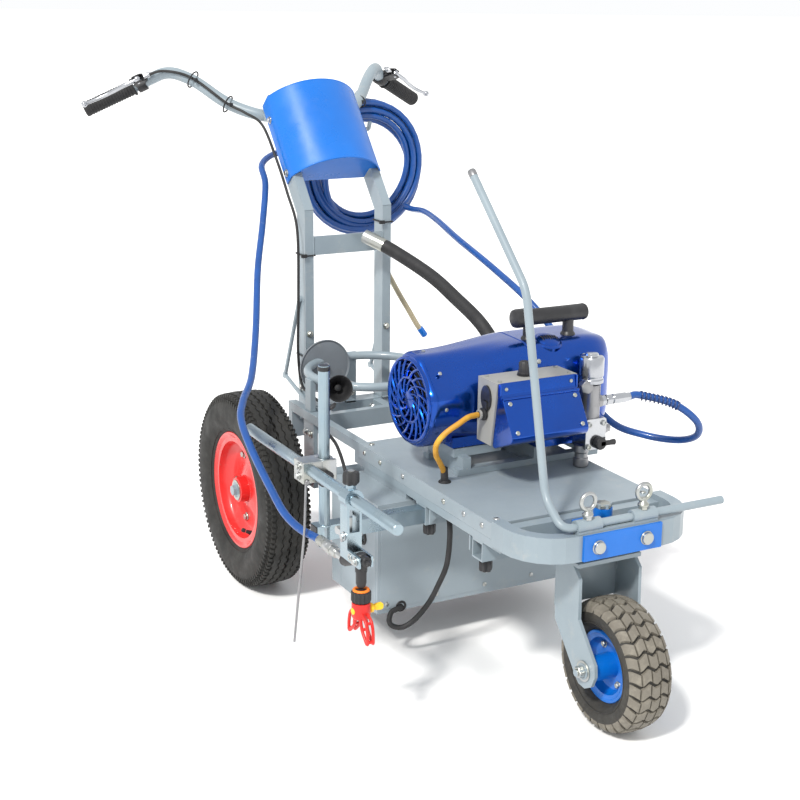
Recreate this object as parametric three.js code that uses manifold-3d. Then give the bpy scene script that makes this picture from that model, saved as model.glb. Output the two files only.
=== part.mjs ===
// Line striping machine: a push cart that carries an airless paint sprayer, with a swivelling front
// wheel, a sighting rod, and a spray gun held on an adjustable side beam. Millimetres, +Z up, the
// front wheel points along -Y, the gun side is -X. Y is counted from the rear axle and every body is
// moved by ORIGIN_SHIFT at the end, so that the origin is under the middle of the machine.
import * as THREE from 'three';
import { mergeVertices } from 'three/addons/utils/BufferGeometryUtils.js';
import Module from 'manifold-3d';

const wasm = await Module();
wasm.setup();

// ---- driving dimensions ----
const ORIGIN_SHIFT = 160.5;
const GAP = 0.3;

const REAR_R = 200;
const REAR_W = 97;
const REAR_X = 292;
const FRONT_R = 114;
const FRONT_W = 85;
const FORK_Y = -805;
const FRONT_AXLE_Y = -860;

const DECK_HALF = 168;
const DECK_TOP = 346;
const DECK_FRONT = -734;
const DECK_REAR = -241;
const RAIL_HALF = 172;
const RAIL_TOP = 353;
const RAIL_LOW = 309;

const POST_X = 92;
const POST_Y = 168;
const BEND_Z = 730;
const LEAN = THREE.MathUtils.degToRad(40);
const UPPER_LENGTH = 285;

const ROD_R = 7;
const ROD_Y = -846;
const ROD_Z = 364;

const BEAM_Y = -490;
const BEAM_Z = 284;
const POLE_X = -362;
const POLE_Y = -497;
const GUN_ROD_X = -395;
const GUN_ROD_Z = 407;

const FAN_X = -166;
const SHROUD_Y = -430;
const SHROUD_Z = 480;
const SHROUD_R = 87;
const PUMP_X = 151;
const VALVE_X = 158;

const COIL = [187, 455, 776];
const COIL_R = 133;

// ---- small modelling kit ----
function prepare(geometry) {
  const plain = geometry.index ? geometry.toNonIndexed() : geometry.clone();
  plain.deleteAttribute('normal');
  plain.deleteAttribute('uv');
  return mergeVertices(plain, 1e-4);
}

function toSolid(geometry) {
  const g = prepare(geometry);
  const vertProperties = new Float32Array(g.attributes.position.array);
  const triVerts = new Uint32Array(g.index.array);
  return new wasm.Manifold(new wasm.Mesh({ numProp: 3, vertProperties, triVerts }));
}

function toGeometry(solid) {
  const mesh = solid.getMesh();
  const g = new THREE.BufferGeometry();
  g.setAttribute('position', new THREE.BufferAttribute(new Float32Array(mesh.vertProperties), 3));
  g.setIndex(new THREE.BufferAttribute(new Uint32Array(mesh.triVerts), 1));
  return g;
}

function union(parts) {
  return parts.map(toSolid).reduce((sum, next) => sum.add(next));
}

function cut(base, tools) {
  return tools.map(toSolid).reduce((rest, tool) => rest.subtract(tool), base);
}

// A box from its low and high corners.
function slab(x0, x1, y0, y1, z0, z1) {
  const g = new THREE.BoxGeometry(x1 - x0, y1 - y0, z1 - z0);
  return g.translate((x0 + x1) / 2, (y0 + y1) / 2, (z0 + z1) / 2);
}

// A solid cylinder whose axis runs from one point to the other.
function rod(from, to, radius, sides = 12, endRadius = radius) {
  const a = new THREE.Vector3(...from);
  const b = new THREE.Vector3(...to);
  const g = new THREE.CylinderGeometry(endRadius, radius, a.distanceTo(b), sides);
  const turn = new THREE.Quaternion().setFromUnitVectors(
    new THREE.Vector3(0, 1, 0), b.clone().sub(a).normalize());
  g.applyQuaternion(turn);
  const mid = a.add(b).multiplyScalar(0.5);
  return g.translate(mid.x, mid.y, mid.z);
}

// A body turned about the X axis from [radius, x] pairs; the profile closes on itself and is put
// in the order that makes its faces point outwards.
function turnedX(profile, centre, segments = 32) {
  const outline = profile.map(([r, x]) => new THREE.Vector2(r, x));
  if (THREE.ShapeUtils.area(outline) < 0) {
    outline.reverse();
  }
  const closed = [...outline, outline[0].clone()];
  const g = new THREE.LatheGeometry(closed, segments);
  g.rotateZ(-Math.PI / 2);
  return g.translate(...centre);
}

// A smooth-cornered path through hand-set points; each corner is rounded by the given amount.
function filletPath(points, round) {
  const p = points.map((q) => new THREE.Vector3(...q));
  const path = new THREE.CurvePath();
  let start = p[0];
  for (let i = 1; i < p.length - 1; i += 1) {
    const inLength = p[i].distanceTo(p[i - 1]);
    const outLength = p[i].distanceTo(p[i + 1]);
    const r = Math.min(round, inLength * 0.45, outLength * 0.45);
    const before = p[i].clone().lerp(p[i - 1], r / inLength);
    const after = p[i].clone().lerp(p[i + 1], r / outLength);
    path.add(new THREE.LineCurve3(start, before));
    path.add(new THREE.QuadraticBezierCurve3(before, p[i].clone(), after));
    start = after;
  }
  path.add(new THREE.LineCurve3(start, p[p.length - 1]));
  return path;
}

function sweep(path, shape, steps) {
  return new THREE.ExtrudeGeometry(shape, { steps, bevelEnabled: false, extrudePath: path });
}

function circle(radius, sides) {
  const points = [];
  for (let i = 0; i < sides; i += 1) {
    const a = (i + 0.5) * 2 * Math.PI / sides;
    points.push(new THREE.Vector2(radius * Math.cos(a), radius * Math.sin(a)));
  }
  return new THREE.Shape(points);
}

// A bent metal tube: straight legs with rounded corners.
function bent(points, radius, round, steps, sides = 12) {
  return sweep(filletPath(points, round), circle(radius, sides), steps);
}

// A flexible hose or cable: a smooth curve through its points.
function cord(points, radius, steps, sides = 8) {
  const curve = new THREE.CatmullRomCurve3(points.map((q) => new THREE.Vector3(...q)));
  return sweep(curve, circle(radius, sides), steps);
}

// A flat outline in Y and Z, given thickness along X from x0 to x1.
function plateX(outline, x0, x1, holes = []) {
  const shape = new THREE.Shape(outline.map(([y, z]) => new THREE.Vector2(y, z)));
  for (const [y, z, r] of holes) {
    const hole = new THREE.Path();
    hole.absarc(y, z, r, 0, 2 * Math.PI, true);
    shape.holes.push(hole);
  }
  const g = new THREE.ExtrudeGeometry(shape, { depth: x1 - x0, bevelEnabled: false, curveSegments: 8 });
  g.rotateZ(Math.PI / 2);
  g.rotateY(Math.PI / 2);
  return g.translate(x0, 0, 0);
}

const group = new THREE.Group();
group.name = 'line_striping_machine';

const FINISH = {
  frame_paint: [0x9fb0ba, 0.45, 0.1],
  azure_paint: [0x1f7fe6, 0.35, 0.1],
  metallic_blue: [0x1238b8, 0.25, 0.5],
  red_paint: [0xd92b26, 0.4, 0.1],
  tyre_rubber: [0x24211f, 0.9, 0],
  black_rubber: [0x161616, 0.8, 0],
  black_plastic: [0x1a1a1c, 0.5, 0],
  zinc: [0xb9bcc0, 0.35, 0.9],
  chrome: [0xe0e0e0, 0.12, 1],
  blue_hose: [0x1660d8, 0.4, 0],
  yellow_plastic: [0xf0c010, 0.4, 0],
  red_plastic: [0xd8201c, 0.4, 0],
  yellow_cable: [0xc8911c, 0.6, 0],
};

function add(name, finish, body) {
  const geometry = body instanceof THREE.BufferGeometry ? toGeometry(toSolid(body)) : toGeometry(body);
  geometry.translate(0, ORIGIN_SHIFT, 0);
  const [color, roughness, metalness] = FINISH[finish];
  const mesh = new THREE.Mesh(geometry, new THREE.MeshStandardMaterial({ color, roughness, metalness }));
  mesh.name = name;
  group.add(mesh);
}

// ---- rear wheels: pneumatic tyre on a dished steel rim ----
function rearWheel(side, name) {
  const centre = [side * REAR_X, 0, REAR_R];
  const half = REAR_W / 2;
  add(`rear_tyre_${name}`, 'tyre_rubber', turnedX([
    [102.3, 32.6], [119.6, 32.6], [123, 38], [142, half - 2], [162, half], [182, half - 3],
    [194, 36], [REAR_R, 18], [REAR_R, -18], [194, -36], [182, -half + 3], [162, -half],
    [142, -half + 2], [123, -38], [119.6, -32.6], [102.3, -32.6], [102.3, -24],
    [160, -37], [188, 0], [160, 37], [102.3, 24],
  ], centre, 24));
  const s = side;
  const rim = turnedX([
    [119, 33.2 * s], [119, 36 * s], [99, 36.5 * s], [97, 22 * s], [60, 8 * s], [26, 12 * s],
    [24, 33 * s], [13, 33 * s], [13, -30 * s], [24, -30 * s], [26, 3 * s], [60, 2 * s],
    [95, 12 * s], [99, -36.5 * s], [119, -36 * s], [119, -33.2 * s], [102, -33.2 * s],
    [102, 33.2 * s],
  ], centre, 24);
  add(`rear_rim_${name}`, 'red_paint', rim);
}
rearWheel(-1, 'left');
rearWheel(1, 'right');

// ---- main frame: front D-rail, side rails, rear beam, axle and gun-beam sockets ----
function dRail() {
  const path = new THREE.CurvePath();
  const c = RAIL_HALF - 11;
  const r = 77;
  const front = -849;
  const corner = (sx, from, to) => {
    const arc = [];
    for (let i = 0; i <= 6; i += 1) {
      const a = from + (to - from) * i / 6;
      arc.push(new THREE.Vector3(sx * (c - r) + r * Math.cos(a), front + r + r * Math.sin(a), 331));
    }
    return arc;
  };
  const points = [
    new THREE.Vector3(-c, -736, 331),
    ...corner(-1, Math.PI, 1.5 * Math.PI),
    ...corner(1, 1.5 * Math.PI, 2 * Math.PI),
    new THREE.Vector3(c, -736, 331),
  ];
  for (let i = 1; i < points.length; i += 1) {
    path.add(new THREE.LineCurve3(points[i - 1], points[i]));
  }
  const outer = [];
  const inner = [];
  points.forEach((p, i) => {
    const a = points[Math.max(i - 1, 0)];
    const b = points[Math.min(i + 1, points.length - 1)];
    const t = b.clone().sub(a).normalize();
    outer.push(new THREE.Vector2(p.x + 11 * t.y, p.y - 11 * t.x));
    inner.push(new THREE.Vector2(p.x - 11 * t.y, p.y + 11 * t.x));
  });
  const shape = new THREE.Shape([...outer, ...inner.reverse()]);
  const g = new THREE.ExtrudeGeometry(shape, { depth: RAIL_TOP - RAIL_LOW, bevelEnabled: false });
  return g.translate(0, 0, RAIL_LOW);
}

function socket(y) {
  return [
    slab(-167.5, -60, y - 16.5, y + 16.5, 267, 303.5),
    slab(-167.5, -60, y - 16.5, y + 16.5, 300, 306),
  ];
}

function mainFrame() {
  const parts = [dRail()];
  for (const s of [-1, 1]) {
    const x0 = s < 0 ? -DECK_HALF : 150;
    parts.push(slab(x0, x0 + 18, -760, -225, 303, 317.7));
    parts.push(slab(x0, x0 + 18, -240.5, -222, 303, DECK_TOP));
    parts.push(slab(x0, x0 + 18, -230, 93, 327, DECK_TOP));
    parts.push(slab(s * 159 - 5, s * 159 + 5, -24, 24, 185, 330));
    parts.push(slab(x0, x0 + 18, 75, 93, 270, 330));
    parts.push(slab(s * 71 - 10, s * 71 + 10, 80, 160, 272, 306));
  }
  parts.push(slab(-168, 168, 75, 93, 270, 308));
  parts.push(slab(-102, 102, 150, 188, 270, 308));
  parts.push(slab(-160, 160, -760, -738, 309, 342.5));
  parts.push(slab(-160, 160, -610, -590, 303, 317.7));
  parts.push(rod([-253, 0, REAR_R], [253, 0, REAR_R], 15, 16));
  parts.push(rod([-325, 0, REAR_R], [325, 0, REAR_R], 12, 16));
  for (const s of [-1, 1]) {
    parts.push(rod([s * 325.4, 0, REAR_R], [s * 328, 0, REAR_R], 16, 16));
    parts.push(rod([s * 324, 0, REAR_R], [s * 336, 0, REAR_R], 11, 6));
  }
  parts.push(...socket(BEAM_Y), ...socket(-686));
  const bore = (y) => slab(-170, -44, y - 14, y + 14, BEAM_Z - 14, BEAM_Z + 14);
  const screw = (y) => rod([-150, y, 260], [-150, y, 275], 4.4, 12);
  return cut(union(parts), [bore(BEAM_Y), bore(-686), screw(BEAM_Y), screw(-686)]);
}
add('main_frame', 'frame_paint', mainFrame());

// ---- deck sheet with folded skirts and the sunk front pan ----
function deck() {
  const h = DECK_HALF;
  const parts = [
    slab(-h, h, DECK_FRONT, DECK_REAR, DECK_TOP - 3, DECK_TOP),
    slab(-h, -h + 3, DECK_FRONT, DECK_REAR, 318, DECK_TOP),
    slab(h - 3, h, DECK_FRONT, DECK_REAR, 318, DECK_TOP),
    slab(-h, h, DECK_REAR - 3, DECK_REAR, 318, DECK_TOP),
    slab(-h + 4, h - 4, DECK_FRONT, DECK_FRONT + 3, 319, DECK_TOP),
  ];
  return cut(union(parts), [rod([-134, -514, 330], [-134, -514, 360], 9, 12)]);
}
add('deck_plate', 'frame_paint', deck());

function frontPan() {
  const parts = [
    slab(-149, 149, -771, -760.4, 311, 314),
    slab(-140, 140, -800, -770, 311, 314),
    slab(-88, 88, -837, -799, 311, 314),
  ];
  return cut(union(parts), [rod([0, FORK_Y, 300], [0, FORK_Y, 320], 16.4, 24)]);
}
add('front_pan', 'frame_paint', frontPan());

// ---- under-deck box hung from the side rails ----
function underBox() {
  const parts = [
    slab(-229, 229, -440, -248, 80, 292),
    slab(-166, -152, -430, -260, 290, 302.7),
    slab(152, 166, -430, -260, 290, 302.7),
  ];
  return cut(union(parts), [
    slab(-225.5, 225.5, -436.5, -251.5, 70, 288),
    rod([-240, -381, 212], [-222, -381, 212], 11, 12),
    rod([-180, -460, 88], [-180, -432, 88], 9, 12),
  ]);
}
add('under_deck_box', 'frame_paint', underBox());

// ---- azure front plate and the steering head ----
function frontPlate() {
  const parts = [slab(-77, 77, -865.5, -860.3, 310, RAIL_TOP)];
  for (const x of [-49, 46]) {
    parts.push(rod([x, -871.5, 331], [x, -865, 331], 8.5, 6));
  }
  return union(parts);
}
add('front_plate', 'azure_paint', frontPlate());

function pivotTube() {
  const parts = [
    rod([0, FORK_Y, 292], [0, FORK_Y, 372], 16, 24),
    slab(-30, 30, -800, -760.4, 320, 340),
  ];
  return cut(union(parts), [rod([0, FORK_Y, 285], [0, FORK_Y, 380], 10.6, 24)]);
}
add('pivot_tube', 'azure_paint', pivotTube());

// ---- caster fork: kingpin, crown and two leaning arms with the wheel bolt ----
function fork() {
  const arm = [
    [-767, 290], [-812, 290], [-836, 266], [-838, 196], [-889, 134], [-891, 114],
    [-882, 94], [-864, 84], [-846, 86], [-834, 98], [-770, 174],
  ];
  const parts = [
    plateX(arm, -63, -57),
    plateX(arm, 57, 63),
    slab(-63, 63, -832, -767, 284, 291),
    slab(-63, 63, -773, -767, 196, 290),
    rod([0, FORK_Y, 286], [0, FORK_Y, 378], 10, 24),
    rod([0, FORK_Y, 372.4], [0, FORK_Y, 380], 15, 6),
    rod([-80, FRONT_AXLE_Y, FRONT_R], [80, FRONT_AXLE_Y, FRONT_R], 6, 12),
    rod([-66, FRONT_AXLE_Y, FRONT_R], [-62, FRONT_AXLE_Y, FRONT_R], 14, 14),
    rod([-76, FRONT_AXLE_Y, FRONT_R], [-65, FRONT_AXLE_Y, FRONT_R], 10, 6),
    rod([62, FRONT_AXLE_Y, FRONT_R], [66, FRONT_AXLE_Y, FRONT_R], 14, 14),
    rod([65, FRONT_AXLE_Y, FRONT_R], [74, FRONT_AXLE_Y, FRONT_R], 10, 6),
  ];
  return union(parts);
}
add('caster_fork', 'frame_paint', fork());

function frontWheel() {
  const centre = [0, FRONT_AXLE_Y, FRONT_R];
  const half = FRONT_W / 2;
  add('front_tyre', 'tyre_rubber', turnedX([
    [51.3, 22.6], [61.6, 22.6], [65, 30], [78, half - 1], [92, half], [105, 36], [112, 22],
    [FRONT_R, 0], [112, -22], [105, -36], [92, -half], [78, -half + 1], [65, -30], [61.6, -22.6],
    [51.3, -22.6], [51.3, -15], [88, -32], [104, 0], [88, 32], [51.3, 15],
  ], centre, 22));
  add('front_rim', 'azure_paint', turnedX([
    [61, 23], [61, 25.5], [49, 26], [47, 12], [22, 4], [20, 50], [7, 50], [7, -50], [20, -50],
    [22, -4], [47, -12], [49, -26], [61, -25.5], [61, -23], [51, -23], [51, 23],
  ], centre, 22));
}
frontWheel();

// ---- rear posts, braces and cross plate ----
function postFrame() {
  const dy = Math.sin(LEAN);
  const dz = Math.cos(LEAN);
  const parts = [];
  for (const s of [-1, 1]) {
    const x = s * POST_X;
    parts.push(slab(x - 10, x + 10, POST_Y - 20, POST_Y + 20, 308.3, BEND_Z));
    const leg = new THREE.BoxGeometry(20, 40, UPPER_LENGTH + 8);
    leg.rotateX(-LEAN);
    const m = (UPPER_LENGTH - 8) / 2;
    parts.push(leg.translate(x, POST_Y + dy * m, BEND_Z + dz * m));
    parts.push(rod([x - 9.9, POST_Y, BEND_Z], [x + 9.9, POST_Y, BEND_Z], 20, 24));
    const out = s * 106;
    parts.push(rod([out, 171, 543], [out, 250, 357], 4.5, 10));
    parts.push(rod([out, 250, 357], [out, 99, 314], 4.5, 10));
    parts.push(rod([out - 4 * s, 250, 357], [out + 4 * s, 250, 357], 7, 10));
    parts.push(rod([s * 95, 171, 543], [out, 171, 543], 6, 10));
    parts.push(rod([out, 99, 314], [s * 100, 160, 331], 5, 10));
  }
  parts.push(slab(-84, 84, 148.2, 152.2, 640, 680));
  return union(parts);
}
add('post_frame', 'frame_paint', postFrame());

// ---- bucket hoop carried by a flat stay ----
function bucketHoop() {
  const ring = new THREE.TorusGeometry(132, 9, 8, 30);
  ring.translate(-18, 4, 415);
  const parts = [
    ring,
    slab(-12, 12, 134, 140, 309, 424),
    slab(-12, 12, 134, 149.6, 309, 315),
    slab(-164, -152, -10, 16, 350, 418),
    slab(-164, -152, -10, 16, 346.4, 352),
  ];
  return union(parts);
}
add('bucket_hoop', 'frame_paint', bucketHoop());

// ---- curved shield clasped on the leaning posts ----
function shield() {
  const outerX = 105.3;
  const sheet = 3;
  const rise = 62;
  const low = 18;
  const radius = (outerX * outerX + rise * rise) / (2 * rise);
  const centreN = low + rise - radius;
  const sweepAngle = Math.asin(outerX / radius);
  const full = rise > radius ? Math.PI - sweepAngle : sweepAngle;
  const outer = [];
  const inner = [];
  for (let i = 0; i <= 20; i += 1) {
    const a = -full + 2 * full * i / 20;
    outer.push([radius * Math.sin(a), centreN + radius * Math.cos(a)]);
    inner.push([(radius - sheet) * Math.sin(a), centreN + (radius - sheet) * Math.cos(a)]);
  }
  const outline = [
    [-outerX, -16], ...outer, [outerX, -16], [outerX - sheet, -16],
    [outerX - sheet, 21], ...inner.slice(1, -1).reverse(), [-outerX + sheet, 21], [-outerX + sheet, -16],
  ];
  const shape = new THREE.Shape(outline.map(([x, n]) => new THREE.Vector2(x, n)));
  const g = new THREE.ExtrudeGeometry(shape, { depth: 200, bevelEnabled: false });
  const dy = Math.sin(LEAN);
  const dz = Math.cos(LEAN);
  const basis = new THREE.Matrix4().makeBasis(
    new THREE.Vector3(1, 0, 0), new THREE.Vector3(0, -dz, dy), new THREE.Vector3(0, -dy, -dz));
  g.applyMatrix4(basis);
  return g.translate(0, POST_Y + dy * 280, BEND_Z + dz * 280);
}
add('shield', 'azure_paint', shield());

// ---- handlebar, grips, lever clamps and levers ----
const GRIP_START = [317, 594.6, 965.2];
const GRIP_END = [417, 635.6, 915.2];
const ALONG = new THREE.Vector3(100, 41, -50).normalize();
const FORWARD = new THREE.Vector3(0.476, -0.839, 0.262).normalize();

// A point beside the right or left grip: along it from its inner end, and forward of its axis.
function onGrip(side, along, forward) {
  const p = new THREE.Vector3(...GRIP_START).addScaledVector(ALONG, along);
  p.addScaledVector(FORWARD, forward);
  return [side * p.x, p.y, p.z];
}

function handlebar() {
  const half = [
    [0, 363, 910], [95, 363, 910], [160, 420, 934], [215, 482, 985], [258, 530, 1004],
    [298, 587, 974.6], GRIP_START, [413, 633.9, 917.2],
  ];
  const left = half.slice(1).reverse().map(([x, y, z]) => [-x, y, z]);
  const parts = [bent([...left, ...half.slice(1)], 13, 40, 40, 10)];
  for (const s of [-1, 1]) {
    parts.push(slab(s * POST_X - 9, s * POST_X + 9, 340, 362, 902, 922));
    parts.push(rod(onGrip(s, -30, 0), onGrip(s, -8, 0), 17, 14));
    parts.push(rod(onGrip(s, -19, 8), onGrip(s, -19, 34), 6, 10));
  }
  const hook = [[0, -3, 180], [0, 36, 170], [0, 36, 92], [0, -30, 92], [0, -36, 110]];
  parts.push(bent(hook.map((p) => p.map((v, i) => v + COIL[i])), 5, 10, 24, 8));
  return union(parts).subtract(postTool());
}

// The two leaning posts made larger by the gap, to keep the clamps clear of them.
function postTool() {
  const legs = [-1, 1].map((s) => {
    const leg = new THREE.BoxGeometry(22, 40 + 2 * GAP, UPPER_LENGTH + 40);
    leg.rotateX(-LEAN);
    const m = UPPER_LENGTH / 2;
    return leg.translate(s * POST_X, POST_Y + Math.sin(LEAN) * m, BEND_Z + Math.cos(LEAN) * m);
  });
  return union(legs);
}
add('handlebar', 'frame_paint', handlebar());

function lever(side) {
  const pivot = onGrip(side, -19, 44);
  const across = new THREE.Vector3().crossVectors(
    new THREE.Vector3(side * ALONG.x, ALONG.y, ALONG.z),
    new THREE.Vector3(side * FORWARD.x, FORWARD.y, FORWARD.z)).normalize();
  const a = new THREE.Vector3(...pivot).addScaledVector(across, 8).toArray();
  const b = new THREE.Vector3(...pivot).addScaledVector(across, -8).toArray();
  const blade = bent([pivot, onGrip(side, 20, 44), onGrip(side, 60, 38), onGrip(side, 108, 46)],
    4.5, 16, 16, 8);
  const ball = new THREE.SphereGeometry(8, 12, 8);
  ball.translate(...onGrip(side, 110, 46));
  return union([rod(a, b, 8, 14), blade, ball]);
}

function grip(side) {
  const sleeve = toSolid(rod(onGrip(side, -2, 0), onGrip(side, 121, 0), 17, 20));
  return sleeve.subtract(toSolid(rod(onGrip(side, -3, 0), onGrip(side, 115.5, 0), 14, 20)));
}

for (const [side, name] of [[-1, 'left'], [1, 'right']]) {
  add(`grip_${name}`, 'black_rubber', grip(side));
  add(`lever_${name}`, 'chrome', lever(side));
}

// ---- pointer rod in two sleeves, with an eye bolt over each ----
function rodSleeves() {
  const parts = [slab(-83, 74, -857, -842, 353.3, 357.5)];
  const tools = [rod([-90, ROD_Y, ROD_Z], [80, ROD_Y, ROD_Z], ROD_R + 0.5, 14)];
  for (const [x0, x1] of [[-83, -36], [27, 74]]) {
    parts.push(rod([x0, ROD_Y, ROD_Z], [x1, ROD_Y, ROD_Z], 11.5, 20));
    parts.push(rod([(x0 + x1) / 2, ROD_Y, ROD_Z], [(x0 + x1) / 2, ROD_Y, ROD_Z + 15], 7, 6));
    tools.push(rod([(x0 + x1) / 2, ROD_Y, ROD_Z], [(x0 + x1) / 2, ROD_Y, ROD_Z + 20], 4.4, 12));
  }
  const trim = slab(-90, 80, -870, -830, 340, 353.3);
  return cut(union(parts), [...tools, trim]);
}
add('rod_sleeves', 'zinc', rodSleeves());

const SLEEVE_X = [-59.5, 50.5];
['left', 'right'].forEach((name, i) => {
  const x = SLEEVE_X[i];
  const eye = new THREE.TorusGeometry(13.5, 3.6, 6, 16);
  eye.rotateX(Math.PI / 2);
  eye.translate(x, ROD_Y, 404);
  add(`eye_bolt_${name}`, 'zinc', union([
    rod([x, ROD_Y, ROD_Z + 8], [x, ROD_Y, 392], 4, 12),
    rod([x, ROD_Y, ROD_Z + 15.6], [x, ROD_Y, ROD_Z + 20], 9, 14),
    eye,
  ]));
});

const POINTER = [
  [215, ROD_Y, ROD_Z], [-108, ROD_Y, ROD_Z], [-105, -790, 400], [-104, -712, 728], [-103, -530, 897],
];
add('pointer_rod', 'frame_paint', bent(POINTER, ROD_R, 14, 48, 8));

// ---- gun beam with its upright, locked by a knob under each socket ----
function knob(from, to, radius, stemLength, stemRadius = 3.9) {
  const a = new THREE.Vector3(...from);
  const b = new THREE.Vector3(...to);
  const dir = b.clone().sub(a).normalize();
  const tip = a.clone().addScaledVector(dir, -stemLength);
  return union([rod(from, to, radius, 8), rod(tip.toArray(), from, stemRadius, 10),
    rod(tip.toArray(), a.clone().addScaledVector(dir, 2).toArray(), stemRadius, 10)]);
}

function gunBeam() {
  const parts = [
    slab(-378, -66, BEAM_Y - 13.5, BEAM_Y + 13.5, BEAM_Z - 13.5, BEAM_Z + 13.5),
    rod([POLE_X, POLE_Y, 258], [POLE_X, POLE_Y, 582], 10, 14),
  ];
  return union(parts);
}
add('gun_beam', 'zinc', gunBeam());

for (const [y, name] of [[BEAM_Y, 'rear'], [-686, 'front']]) {
  add(`socket_knob_${name}`, 'black_plastic', knob([-150, y, 263], [-150, y, 241], 15, 6.5));
}

// ---- rod clamp on the upright and the long gun rod ----
function clampBlock() {
  const parts = [
    slab(-410, -347, POLE_Y - 19, POLE_Y + 19, 384, 421),
    rod([GUN_ROD_X, -245, GUN_ROD_Z], [GUN_ROD_X, -830, GUN_ROD_Z], 10, 14),
  ];
  return cut(union(parts), [
    rod([POLE_X, POLE_Y, 370], [POLE_X, POLE_Y, 430], 10.6, 14),
    slab(-352, -340, POLE_Y - 1.5, POLE_Y + 1.5, 380, 425),
    rod([-373, POLE_Y - 25, 392], [-373, POLE_Y - 15, 392], 4.4, 12),
  ]);
}
add('gun_rod', 'zinc', clampBlock());
add('clamp_knob', 'black_plastic', knob([-373, POLE_Y - 19.6, 392], [-373, POLE_Y - 41, 392], 15, 3.8));

// ---- gun carriage: ring clamp with two slotted arms, gun, tip guard, tip key and trigger ----
function gunCarriage() {
  const y0 = -655;
  const y1 = -681;
  const parts = [
    rod([GUN_ROD_X, y0, GUN_ROD_Z], [GUN_ROD_X, y1, GUN_ROD_Z], 17, 14),
    slab(-408, -404, -681, -655, 318, 407),
    slab(-386, -382, -681, -655, 318, 407),
    slab(-408, -404, -722, -655, 306, 324),
    slab(-386, -382, -722, -655, 306, 324),
    slab(-408, -382, -681, -675, 318, 352),
    rod([GUN_ROD_X, -668, 420], [GUN_ROD_X, -668, 430], 8, 6),
  ];
  return cut(union(parts), [
    rod([GUN_ROD_X, y0 + 5, GUN_ROD_Z], [GUN_ROD_X, y1 - 5, GUN_ROD_Z], 10.6, 14),
    rod([GUN_ROD_X, -668, 415], [GUN_ROD_X, -668, 435], 4.4, 12),
  ]);
}
add('gun_carriage', 'zinc', gunCarriage());
add('carriage_knob', 'black_plastic',
  knob([GUN_ROD_X, -668, 430.5], [GUN_ROD_X, -668, 452], 14, 8));

const GUN_X = -395;
function gunBody() {
  const parts = [
    rod([GUN_X, -705, 325], [GUN_X, -705, 268], 8.6, 14),
    rod([GUN_X, -705, 262], [GUN_X, -705, 242], 17, 14),
    rod([GUN_X, -705, 270], [GUN_X, -705, 260], 12, 12),
    rod([GUN_X, -705, 316], [GUN_X, -640, 290], 8.4, 14),
    rod([GUN_X, -650, 294], [GUN_X, -584, 294], 8, 14),
    rod([GUN_X, -590, 294], [GUN_X, -572, 294], 11, 6),
    rod([GUN_X, -700, 317], [GUN_X, -735, 317], 7, 12),
  ];
  return union(parts);
}
add('gun_body', 'black_plastic', gunBody());

function tipGuard() {
  const parts = [
    rod([GUN_X, -705, 241.6], [GUN_X, -705, 214], 15, 18),
  ];
  for (const s of [-1, 1]) {
    const wing = bent([
      [GUN_X, -705 + s * 10, 226], [GUN_X, -705 + s * 30, 214], [GUN_X, -705 + s * 34, 178],
      [GUN_X, -705 + s * 14, 196], [GUN_X, -705 + s * 8, 217],
    ], 3, 6, 16, 6);
    parts.push(wing);
  }
  return cut(union(parts), [rod([GUN_X - 20, -705, 228], [GUN_X + 20, -705, 228], 6.6, 12)]);
}
add('tip_guard', 'red_plastic', tipGuard());

add('tip_key', 'yellow_plastic', union([
  rod([GUN_X - 15, -705, 228], [GUN_X + 16, -705, 228], 6, 12),
  slab(GUN_X + 15.5, GUN_X + 40, -709, -701, 222, 234),
]));

// The trigger crank swings on a pin through the carriage arms and is pulled by the cable.
function gunTrigger() {
  const parts = [
    rod([-402.9, -662, 336], [-387.1, -662, 336], 5, 12),
    slab(-398, -392, -666, -620, 331, 341),
    slab(-398, -392, -667, -657, 331, 372),
    rod([-398, -620, 336], [-392, -620, 336], 7, 12),
  ];
  return union(parts);
}
add('gun_trigger', 'zinc', gunTrigger());

// ---- sprayer: fan shroud, motor, drive housing, control box and pump ----
function fanShroud() {
  const axisPoint = (x) => [x, SHROUD_Y, SHROUD_Z];
  const shell = toSolid(rod(axisPoint(FAN_X), axisPoint(40), SHROUD_R, 36, SHROUD_R - 6));
  const hollow = toSolid(rod(axisPoint(FAN_X + 6), axisPoint(-60), SHROUD_R - 6, 36));
  const intakes = [];
  for (let ring = 0; ring < 2; ring += 1) {
    const count = 6 + 6 * ring;
    for (let i = 0; i < count; i += 1) {
      const a = 2 * Math.PI * (i + 0.5 * (ring % 2)) / count;
      const r = 28 + 30 * ring;
      intakes.push(rod(
        [FAN_X - 5, SHROUD_Y + r * Math.cos(a), SHROUD_Z + r * Math.sin(a)],
        [FAN_X + 10, SHROUD_Y + r * Math.cos(a), SHROUD_Z + r * Math.sin(a)], 10, 8));
    }
  }
  const foot = union([slab(-100, 20, -480, -380, 392, 420)]);
  return cut(shell.subtract(hollow), intakes).add(foot.subtract(hollow));
}
add('fan_shroud', 'metallic_blue', fanShroud());

function fan() {
  const parts = [rod([-146, SHROUD_Y, SHROUD_Z], [-100, SHROUD_Y, SHROUD_Z], 20, 12)];
  for (let i = 0; i < 7; i += 1) {
    const blade = new THREE.BoxGeometry(4, 50, 26);
    blade.rotateY(0.6);
    blade.translate(0, 42, 0);
    blade.rotateX(2 * Math.PI * i / 7);
    parts.push(blade.translate(-123, SHROUD_Y, SHROUD_Z));
  }
  return union(parts);
}
add('fan', 'black_plastic', fan());

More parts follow.
